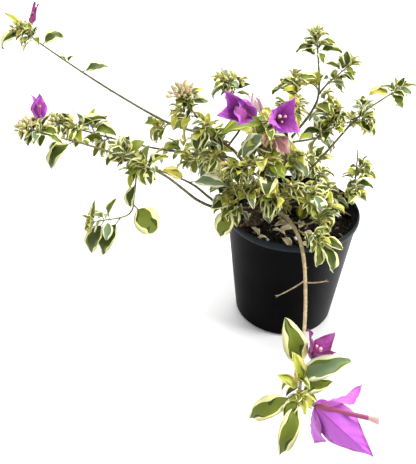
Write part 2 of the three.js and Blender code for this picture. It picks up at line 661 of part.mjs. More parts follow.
function growMasses() {
  const canes = [...byName.values()];
  const masses = canes.map((cane, index) => {
    const draw = seeded(4200 + 17 * index);
    return { cane, draw, spurs: growSpurs(cane, draw), stalks: growStalks(cane) };
  });
  const limbs = canes.filter((cane) => cane.bough > 0).flatMap((cane) => segmentsOf(cane, 0, cane.bough));
  limbs.push({ from: trunkPoint(0), to: trunkPoint(TRUNK.height), radius: TRUNK.neckRadius });
  const twigs = masses.flatMap(({ cane, stalks }) => [
    ...segmentsOf(cane, cane.bough, 1, cane.name),
    ...stalks.map(({ from, to, axis, bract }) => ({
      owner: cane.name,
      from,
      to: to.clone().addScaledVector(axis, bract * 0.8),
    })),
  ]);
  const isClear = (point) =>
    clearOfPot(point) && limbs.every((limb) => distanceTo(limb, point) >= limb.radius + LIMB_CLEAR);
  for (const mass of masses) {
    const others = twigs.filter(({ owner }) => owner !== mass.cane.name);
    mass.leaves = (mass.cane.lone ?? []).map((sizes) => loneLeaf(mass.cane, sizes)).filter((leaf) =>
      bladeProbes(leaf, LEAF).every((point) =>
        isClear(point) && others.every((twig) => distanceTo(twig, point) > LONE_CLEAR)));
  }
  twigs.push(...masses.flatMap(({ cane, leaves }) =>
    leaves.map((leaf) => ({ owner: cane.name, from: leaf.root, to: bladePoint(leaf, LEAF, 1, 0) }))));
  const hasRoom = (probes, owner) =>
    probes.every((point) => {
      if (!isClear(point)) return false;
      let [own, other] = [Infinity, Infinity];
      for (const twig of twigs) {
        const gap = distanceTo(twig, point);
        if (twig.owner === owner) own = Math.min(own, gap);
        else other = Math.min(other, gap);
      }
      return own + OWN_SPACE < other;
    });
  const turned = (turn) => (turn * 2 * Math.PI) / TURNS_TRIED;
  for (const mass of masses) {
    mass.spurs = mass.spurs.flatMap((spur) => {
      for (let turn = 0; turn < TURNS_TRIED; turn += 1) {
        const aimed = aimSpur(spur, spur.turn + turned(turn));
        const probes = [0.3, 0.65, 1].map((share) => aimed.from.clone().lerp(aimed.to, share));
        if (aimed.onStem || hasRoom(probes, mass.cane.name)) return [aimed];
      }
      return [];
    });
  }
  for (const { cane, spurs } of masses) {
    const aside = spurs.filter((spur) => !spur.onStem);
    twigs.push(...aside.map(({ from, to }) => ({ owner: cane.name, from, to })));
  }
  for (const mass of masses) {
    for (const spur of mass.spurs) {
      for (let index = 0; index < spur.count; index += 1) {
        const chances = Array.from({ length: 5 }, mass.draw);
        let leaf = null;
        for (let turn = 0; turn < TURNS_TRIED && !leaf; turn += 1) {
          const tried = leafOf(mass.cane, spur, index, chances, turned(turn));
          const probes = bladeProbes(tried, LEAF);
          const outer = probes.slice(probes.length / 2);
          const crowded = mass.leaves.some((other) =>
            outer.some((point) => distanceTo(outerHalf(other), point) < LEAF_CLEAR * other.length),
          );
          if (!crowded && hasRoom(probes, mass.cane.name)) leaf = tried;
        }
        if (leaf) mass.leaves.push(leaf);
      }
    }
    const open = mass.stalks.filter(({ closed }) => !closed);
    mass.bracts = open.flatMap(({ to, axis, bract, opening, turn }) => {
      const level = new THREE.Vector3().crossVectors(axis, UP).normalize();
      const frame = { across: level, lift: new THREE.Vector3().crossVectors(level, axis) };
      return [0, 1, 2].map((index) => {
        const side = sideways(frame, (index * 2 * Math.PI) / 3 + turn);
        const direction = leaning(axis, side, opening);
        return blade(to.clone().addScaledVector(axis, -1.5), direction, axis, bract, 0);
      }).filter((leaf) => hasRoom(bladeProbes(leaf, BRACT), mass.cane.name));
    });
  }
  return masses;
}

// A mass: its stem, side twigs, leaves and blooms fused into one body.
function massSolid({ cane, spurs, stalks, leaves, bracts }) {
  const start = cane.bough > 0 ? cane.bough + CLEARANCE / cane.length : 0;
  let stem = caneSolid(cane, start, 1, TWIG_SIDES);
  if (cane.bough === 0) stem = clearOfParent(cane, stem);
  const twigs = spurs.filter((spur) => !spur.onStem).map(({ from, to }) => spurSolid(from, to));
  const florets = stalks.flatMap((stalk) => {
    const { from, to, axis, bract, closed } = stalk;
    const mouth = to.clone().addScaledVector(axis, bract * FLORET.share);
    return [
      twigSolid(from, to, SPUR.radius, SPUR.radius),
      closed ? budSolid(stalk) : twigSolid(to, mouth, SPUR.radius, FLORET.radius),
    ];
  });
  return soundBody(
    joined([
      stem,
      ...twigs,
      ...florets,
      ...leaves.map((leaf) => bladeSolid(leaf, LEAF)),
      ...bracts.map((bract) => bladeSolid(bract, BRACT)),
    ]),
  );
}

function boughSolid(cane) {
  const limb = caneSolid(cane, 0, cane.bough, LIMB_SIDES);
  const snags = (cane.snags ?? []).filter(([share]) => share < cane.bough).map(([share, turn, length]) => {
    const frame = frameAt(cane, share);
    const heading = sideways(frame, turn).addScaledVector(frame.along, 0.45).normalize();
    return spurSolid(frame.point, frame.point.clone().addScaledVector(heading, length));
  });
  return clearOfParent(cane, joined([limb, ...snags]));
}

const plant = new THREE.Group();
plant.add(meshOf("pot", potSolid(), MATERIALS.pot));
plant.add(meshOf("potting_mix", soilSolid(), MATERIALS.soil));
plant.add(meshOf("trunk", trunkSolid(), MATERIALS.bark));
CANES.forEach(layOut);
for (const cane of byName.values()) {
  if (cane.bough > 0) plant.add(meshOf(`${cane.name}_bough`, boughSolid(cane), MATERIALS.bark));
}
for (const mass of growMasses()) {
  plant.add(meshOf(`${mass.cane.name}_foliage`, massSolid(mass), MATERIALS.foliage));
}

export default plant;
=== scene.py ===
"""A potted bougainvillea with cream-edged leaves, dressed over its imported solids.

The growth rule works in millimetres, as the part's source does, and every mesh is made in metres.
"""

import json
import logging
import math
from collections.abc import Callable, Mapping, Sequence
from dataclasses import dataclass, field, replace
from enum import Enum
from typing import TypeVar

import bmesh
import bpy
import numpy as np
from mathutils import Matrix, Vector, noise

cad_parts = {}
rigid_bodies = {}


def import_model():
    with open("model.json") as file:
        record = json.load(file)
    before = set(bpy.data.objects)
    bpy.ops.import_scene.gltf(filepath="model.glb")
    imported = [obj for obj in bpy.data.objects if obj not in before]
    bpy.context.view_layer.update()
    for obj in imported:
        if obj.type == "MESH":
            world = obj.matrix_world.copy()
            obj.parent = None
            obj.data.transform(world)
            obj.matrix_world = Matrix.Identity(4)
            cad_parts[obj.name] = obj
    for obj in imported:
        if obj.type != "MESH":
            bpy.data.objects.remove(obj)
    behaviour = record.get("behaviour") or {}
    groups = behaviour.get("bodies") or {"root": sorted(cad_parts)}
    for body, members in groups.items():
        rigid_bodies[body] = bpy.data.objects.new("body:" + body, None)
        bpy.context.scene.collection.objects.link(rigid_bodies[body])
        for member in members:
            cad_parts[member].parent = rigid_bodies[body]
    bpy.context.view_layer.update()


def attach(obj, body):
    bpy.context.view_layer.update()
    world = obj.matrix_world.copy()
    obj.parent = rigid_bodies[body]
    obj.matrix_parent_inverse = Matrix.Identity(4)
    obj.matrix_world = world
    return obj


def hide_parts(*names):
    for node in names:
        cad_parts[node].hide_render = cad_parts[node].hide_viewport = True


LOG = logging.getLogger("bougainvillea")
METRES = 0.001
WORD = 0xFFFFFFFF
GOLDEN_TURN = math.radians(137.5)
UP = Vector((0.0, 0.0, 1.0))
STEEP = 0.05
SEAM = 1e-6
BLADE_SEAM = 1e-5
PLACES_KEPT = 6
TWIG_STEPS = 5
TWIG_SIDES = 5
THORN_STEPS = 3
Colour = tuple[float, float, float]
Place = tuple[float, float, float]
Span = tuple[float, float]
Choice = TypeVar("Choice")
Stretch = tuple[Vector, Vector, int, float]
Relief = Callable[[Vector, float, float], float]


# --- finishes -----------------------------------------------------------------------------------------


def add_node(
    tree: bpy.types.NodeTree, kind: str, values: Mapping[str, object],
    feeds: Mapping[str | int, bpy.types.NodeSocket], **settings: str,
) -> bpy.types.Node:
    """Add a node to a material.

    Args:
        tree: The material's nodes.
        kind: The node's type.
        values: The plain values of its inputs.
        feeds: The outputs that feed its other inputs.
        settings: Its options.

    Returns:
        The node.
    """
    node = tree.nodes.new(kind)
    for option, choice in settings.items():
        setattr(node, option, choice)
    for name, value in values.items():
        node.inputs[name].default_value = value
    for name, source in feeds.items():
        tree.links.new(source, node.inputs[name])
    return node


@dataclass(frozen=True)
class Finish:
    """A surface: its colour, how rough it is, the patches and grain that lie on it, and a painted sheen, a
    lighter film that stands for reflected light.
    """

    name: str
    colour: Colour
    roughness: float = 0.5
    second: Colour | None = None
    patch_scale: float = 60.0
    patch_edges: tuple[float, float] = (0.4, 0.62)
    grain_scale: float = 900.0
    grain_depth: float = 0.0
    gloss: float = 0.5
    sheen: float = 0.0
    # The next three fields lay a painted sheen: a lighter speckled colour towards +X that stands for
    # reflected light.
    painted_sheen: Colour | None = None
    painted_sheen_span: tuple[float, float] = (0.006, 0.078)
    painted_sheen_scale: float = 650.0

    def material(self) -> bpy.types.Material:
        """Make the finish's material, or find it if it is made already.

        Returns:
            The material, with its pattern laid by object coordinates.
        """
        known = bpy.data.materials.get(self.name)
        if known:
            return known
        made = bpy.data.materials.new(self.name)
        made.use_nodes = True
        made.diffuse_color = (*self.colour, 1.0)
        tree = made.node_tree
        surface = next(node for node in tree.nodes if node.type == "BSDF_PRINCIPLED")
        surface.inputs["Base Color"].default_value = (*self.colour, 1.0)
        surface.inputs["Roughness"].default_value = self.roughness
        surface.inputs["Specular IOR Level"].default_value = self.gloss
        surface.inputs["Sheen Weight"].default_value = self.sheen
        places = tree.nodes.new("ShaderNodeTexCoord").outputs["Object"]
        if self.second:
            colour = self._patches(tree, places)
            # The painted sheen, a lighter colour for reflected light, goes over the patches.
            if self.painted_sheen:
                colour = self._paint_sheen(tree, places, colour)
            tree.links.new(colour, surface.inputs["Base Color"])
        if self.grain_depth:
            self._lay_grain(tree, places, surface)
        return made

    def _patches(self, tree: bpy.types.NodeTree, places: bpy.types.NodeSocket) -> bpy.types.NodeSocket:
        """Blend the two colours in patches.

        Args:
            tree: The material's nodes.
            places: The object coordinates.

        Returns:
            The blended colour.
        """
        patches = self._noise(tree, places, self.patch_scale)
        blend = add_node(tree, "ShaderNodeValToRGB", {}, {"Fac": patches})
        ends = zip(blend.color_ramp.elements, self.patch_edges, (self.colour, self.second))
        for end, position, colour in ends:
            end.position, end.color = position, (*colour, 1.0)
        return blend.outputs["Color"]

    def _paint_sheen(
        self, tree: bpy.types.NodeTree, places: bpy.types.NodeSocket, under: bpy.types.NodeSocket,
    ) -> bpy.types.NodeSocket:
        """Paint a speckled lighter film that thickens towards the piece's +X side: a painted sheen that
        stands for reflected light.

        Args:
            tree: The material's nodes.
            places: The object coordinates.
            under: The colour without the painted sheen.

        Returns:
            The colour with the painted sheen.
        """
        parts = add_node(tree, "ShaderNodeSeparateXYZ", {}, {"Vector": places})
        low, high = self.painted_sheen_span
        across = add_node(tree, "ShaderNodeMapRange", {"From Min": low, "From Max": high},
                          {"Value": parts.outputs["X"]}, interpolation_type="SMOOTHSTEP")
        grains = add_node(tree, "ShaderNodeMapRange", {"From Min": 0.35, "From Max": 0.7, "To Min": 0.45},
                          {"Value": self._noise(tree, places, self.painted_sheen_scale)})
        film = add_node(tree, "ShaderNodeMath", {},
                        {0: across.outputs["Result"], 1: grains.outputs["Result"]}, operation="MULTIPLY")
        laid = add_node(tree, "ShaderNodeMix", {"B": (*self.painted_sheen, 1.0)},
                        {"Factor": film.outputs[0], "A": under}, data_type="RGBA")
        return laid.outputs["Result"]

    def _lay_grain(
        self, tree: bpy.types.NodeTree, places: bpy.types.NodeSocket, surface: bpy.types.Node,
    ) -> None:
        """Raise a fine grain that is duller where it stands higher.

        Args:
            tree: The material's nodes.
            places: The object coordinates.
            surface: The shader.
        """
        grain = self._noise(tree, places, self.grain_scale)
        relief = add_node(tree, "ShaderNodeBump", {"Strength": 0.6, "Distance": self.grain_depth},
                          {"Height": grain})
        tree.links.new(relief.outputs["Normal"], surface.inputs["Normal"])
        dullness = {"To Min": max(0.05, self.roughness - 0.08), "To Max": min(1.0, self.roughness + 0.1)}
        wear = add_node(tree, "ShaderNodeMapRange", dullness, {"Value": grain})
        tree.links.new(wear.outputs["Result"], surface.inputs["Roughness"])

    @staticmethod
    def _noise(tree: bpy.types.NodeTree, places: bpy.types.NodeSocket, scale: float) -> bpy.types.NodeSocket:
        """Lay a noise pattern that turns scale times a metre."""
        values = {"Scale": scale, "Detail": 4.0}
        return add_node(tree, "ShaderNodeTexNoise", values, {"Vector": places}).outputs["Fac"]


# The pot's wall carries a painted sheen: a lighter speckled film towards +X that stands for reflected light.
SATIN_BLACK = Finish("pot_satin_black", (0.0012, 0.0011, 0.0012), 0.38, (0.002, 0.002, 0.0024), 35.0,
                     grain_scale=1300.0, grain_depth=0.00016, gloss=0.018, painted_sheen=(0.042, 0.04, 0.043))
# The lip band's lighter bluish colour is a painted highlight of the rim.
LIP_HIGHLIGHT = Finish("pot_lip_painted_highlight", (0.0035, 0.007, 0.009), 0.4, (0.007, 0.0125, 0.0155), 70.0,
                  grain_scale=1300.0, grain_depth=0.0001, gloss=0.11)
DAMP_MIX = Finish("mix_damp", (0.0035, 0.003, 0.0025), 0.95, (0.01, 0.0075, 0.0055), 130.0,
                  grain_scale=700.0, grain_depth=0.0012, gloss=0.15)
BARK_CHIP = Finish("mix_bark_chip", (0.008, 0.006, 0.0045), 0.9, (0.024, 0.018, 0.013), 160.0,
                   grain_depth=0.0005, gloss=0.15)
STRAW_CHIP = Finish("mix_straw_chip", (0.16, 0.11, 0.06), 0.9, (0.24, 0.18, 0.11), 160.0,
                    grain_depth=0.0004, gloss=0.2)
PERLITE = Finish("mix_perlite", (0.72, 0.7, 0.66), 0.9, (0.8, 0.79, 0.77), 400.0,
                 grain_scale=1500.0, grain_depth=0.0003, gloss=0.2)
OLD_BARK = Finish("bark_old", (0.075, 0.05, 0.03), 0.85, (0.19, 0.135, 0.085), 260.0, (0.42, 0.6),
                  grain_scale=800.0, grain_depth=0.0009, gloss=0.25)
TAN_BARK = Finish("bark_tan", (0.27, 0.2, 0.105), 0.7, (0.4, 0.32, 0.18), 240.0,
                  grain_depth=0.0005, gloss=0.3)
OLIVE_BARK = Finish("bark_olive", (0.075, 0.068, 0.026), 0.6, (0.15, 0.135, 0.055), 240.0, (0.38, 0.6),
                    grain_depth=0.0004, gloss=0.35)
GREEN_STEM = Finish("stem_green", (0.12, 0.135, 0.035), 0.5, (0.23, 0.24, 0.075), 200.0,
                    grain_depth=0.0002, gloss=0.4)
THORN_TIP = Finish("thorn_brown", (0.2, 0.12, 0.055), 0.5, (0.3, 0.2, 0.1), 300.0,
                   grain_depth=0.0002, gloss=0.4)

BARKS = (OLD_BARK, TAN_BARK, OLIVE_BARK, GREEN_STEM)


class Tint(Enum):
    """The colourings that the leaves come in."""

    EDGED = "edged"
    BRIGHT = "bright"
    GREY = "grey"
    YOUNG = "young"
    OLIVE = "olive"
    SUNNED = "sunned"
    DRY = "dry"


class Role(Enum):
    """The parts of a blade that are coloured apart; a leaf's rib is its stalk, a bract's its midrib."""

    CENTRE = 0
    MARGIN = 1
    UNDER = 2
    RIB = 3
    PATCH = 4


def leaf_finish(name: str, colour: Colour, roughness: float = 0.42) -> Finish:
    """Give one plain leaf colour its waxy surface."""
    return Finish(name, colour, roughness, grain_scale=420.0, grain_depth=0.0004, gloss=0.22)


CREAM = leaf_finish("leaf_cream", (0.8, 0.77, 0.36))
PALE_CREAM = leaf_finish("leaf_pale_cream", (0.8, 0.8, 0.56))
YELLOW_CREAM = leaf_finish("leaf_yellow_cream", (0.7, 0.6, 0.16))
DARK_GREEN = leaf_finish("leaf_dark_green", (0.044, 0.068, 0.006))
MID_GREEN = leaf_finish("leaf_mid_green", (0.13, 0.165, 0.015))
GREY_GREEN = leaf_finish("leaf_grey_green", (0.16, 0.225, 0.105))
YOUNG_GREEN = leaf_finish("leaf_young_green", (0.37, 0.41, 0.05))
OLIVE_GREEN = leaf_finish("leaf_olive_green", (0.15, 0.19, 0.01))
SUNNED_OLIVE = leaf_finish("leaf_sunned_olive", (0.4, 0.33, 0.05))
UNDER_GREEN = leaf_finish("leaf_under_green", (0.2, 0.24, 0.07), 0.65)
UNDER_CREAM = leaf_finish("leaf_under_cream", (0.55, 0.52, 0.25), 0.65)
DRY_TAN = leaf_finish("leaf_dry_tan", (0.44, 0.34, 0.19), 0.8)
DRY_PALE = leaf_finish("leaf_dry_pale", (0.66, 0.6, 0.42), 0.8)
SPENT_BROWN = leaf_finish("leaf_spent_brown", (0.2, 0.13, 0.06), 0.85)
BUD_GREEN = leaf_finish("bud_green", (0.42, 0.45, 0.13), 0.5)
BUD_CREAM = leaf_finish("bud_cream", (0.66, 0.58, 0.33), 0.5)
BUD_PINK = leaf_finish("bud_pink", (0.6, 0.36, 0.33), 0.5)

TINT_FINISHES: dict[Tint, tuple[Finish, ...]] = {
    Tint.EDGED: (DARK_GREEN, CREAM, UNDER_GREEN, GREEN_STEM, MID_GREEN),
    Tint.BRIGHT: (MID_GREEN, CREAM, UNDER_GREEN, GREEN_STEM, DARK_GREEN),
    Tint.GREY: (GREY_GREEN, PALE_CREAM, UNDER_GREEN, GREEN_STEM, MID_GREEN),
    Tint.YOUNG: (YOUNG_GREEN, YELLOW_CREAM, UNDER_CREAM, GREEN_STEM, MID_GREEN),
    Tint.OLIVE: (OLIVE_GREEN, OLIVE_GREEN, UNDER_GREEN, GREEN_STEM, YOUNG_GREEN),
    Tint.SUNNED: (SUNNED_OLIVE, YELLOW_CREAM, UNDER_CREAM, GREEN_STEM, OLIVE_GREEN),
    Tint.DRY: (DRY_TAN, DRY_PALE, DRY_TAN, DRY_TAN, SPENT_BROWN),
}


class Bloom(Enum):
    """The states that a bloom's three papery bracts are found in."""

    BRIGHT = "bright"
    PALE = "pale"
    DEEP = "deep"
    YOUNG = "young"
    RICH = "rich"
    FADED = "faded"
    SPENT = "spent"


WITHERED = (Bloom.SPENT, Bloom.FADED)


def paper_finish(name: str, colour: Colour, roughness: float = 0.55) -> Finish:
    """Give one bract colour its papery surface."""
    return Finish(name, colour, roughness, grain_scale=520.0, grain_depth=0.0005, gloss=0.25, sheen=0.15)


MAGENTA = paper_finish("bract_magenta", (0.29, 0.042, 0.24))
VIOLET = paper_finish("bract_violet", (0.41, 0.075, 0.42))
LILAC = paper_finish("bract_lilac", (0.53, 0.12, 0.63))
DEEP_MAGENTA = paper_finish("bract_deep_magenta", (0.19, 0.02, 0.12))
WINE = paper_finish("bract_wine", (0.3, 0.035, 0.16))
BLUSH = paper_finish("bract_blush", (0.68, 0.34, 0.46))
BLUSH_EDGE = paper_finish("bract_blush_edge", (0.8, 0.66, 0.62))
FADED_PINK = paper_finish("bract_faded_pink", (0.5, 0.24, 0.27), 0.7)
SPENT_TAN = paper_finish("bract_spent_tan", (0.4, 0.25, 0.12), 0.8)
SPENT_PALE = paper_finish("bract_spent_pale", (0.55, 0.4, 0.25), 0.8)
FLORET_ROSE = paper_finish("floret_rose", (0.4, 0.085, 0.19), 0.5)
FLORET_CREAM = paper_finish("floret_cream", (0.72, 0.42, 0.4), 0.5)

BLOOM_FINISHES: dict[Bloom, tuple[Finish, ...]] = {
    Bloom.BRIGHT: (VIOLET, LILAC, MAGENTA, MAGENTA),
    Bloom.PALE: (LILAC, VIOLET, LILAC, VIOLET),
    Bloom.DEEP: (WINE, MAGENTA, WINE, DEEP_MAGENTA),
    Bloom.RICH: (MAGENTA, DEEP_MAGENTA, MAGENTA, VIOLET),
    Bloom.YOUNG: (BLUSH, BLUSH_EDGE, BLUSH_EDGE, FADED_PINK),
    Bloom.FADED: (FADED_PINK, SPENT_PALE, FADED_PINK, SPENT_TAN),
    Bloom.SPENT: (SPENT_TAN, SPENT_PALE, SPENT_TAN, SPENT_PALE),
}


# --- the growth rule ----------------------------------------------------------------------------------


@dataclass(frozen=True)
class CaneSpec:
    """A cane's sizes in millimetres.

    root and tip are its radii, through lists (reach, bearing, height) of the points that it arches through,
    and bough is the share of its length that is a bare limb. at is the height up the trunk or the share of
    the parent that it leaves from. A cluster is (share, leaves, blade), a lone leaf (share, bearing, rise,
    blade, breadth), a bloom (share, bearing, rise, stalk, bract, opening, turn of its first bract) and a snag
    (share, turn, length).
    """

    name: str
    parent: str
    at: float
    root: float
    tip: float
    bough: float
    through: tuple[Place, ...]
    clusters: tuple[tuple[float, int, float], ...]
    lone: tuple[tuple[float, float, float, float, float], ...] = ()
    blooms: tuple[tuple[float, ...], ...] = ()
    snags: tuple[Place, ...] = ()


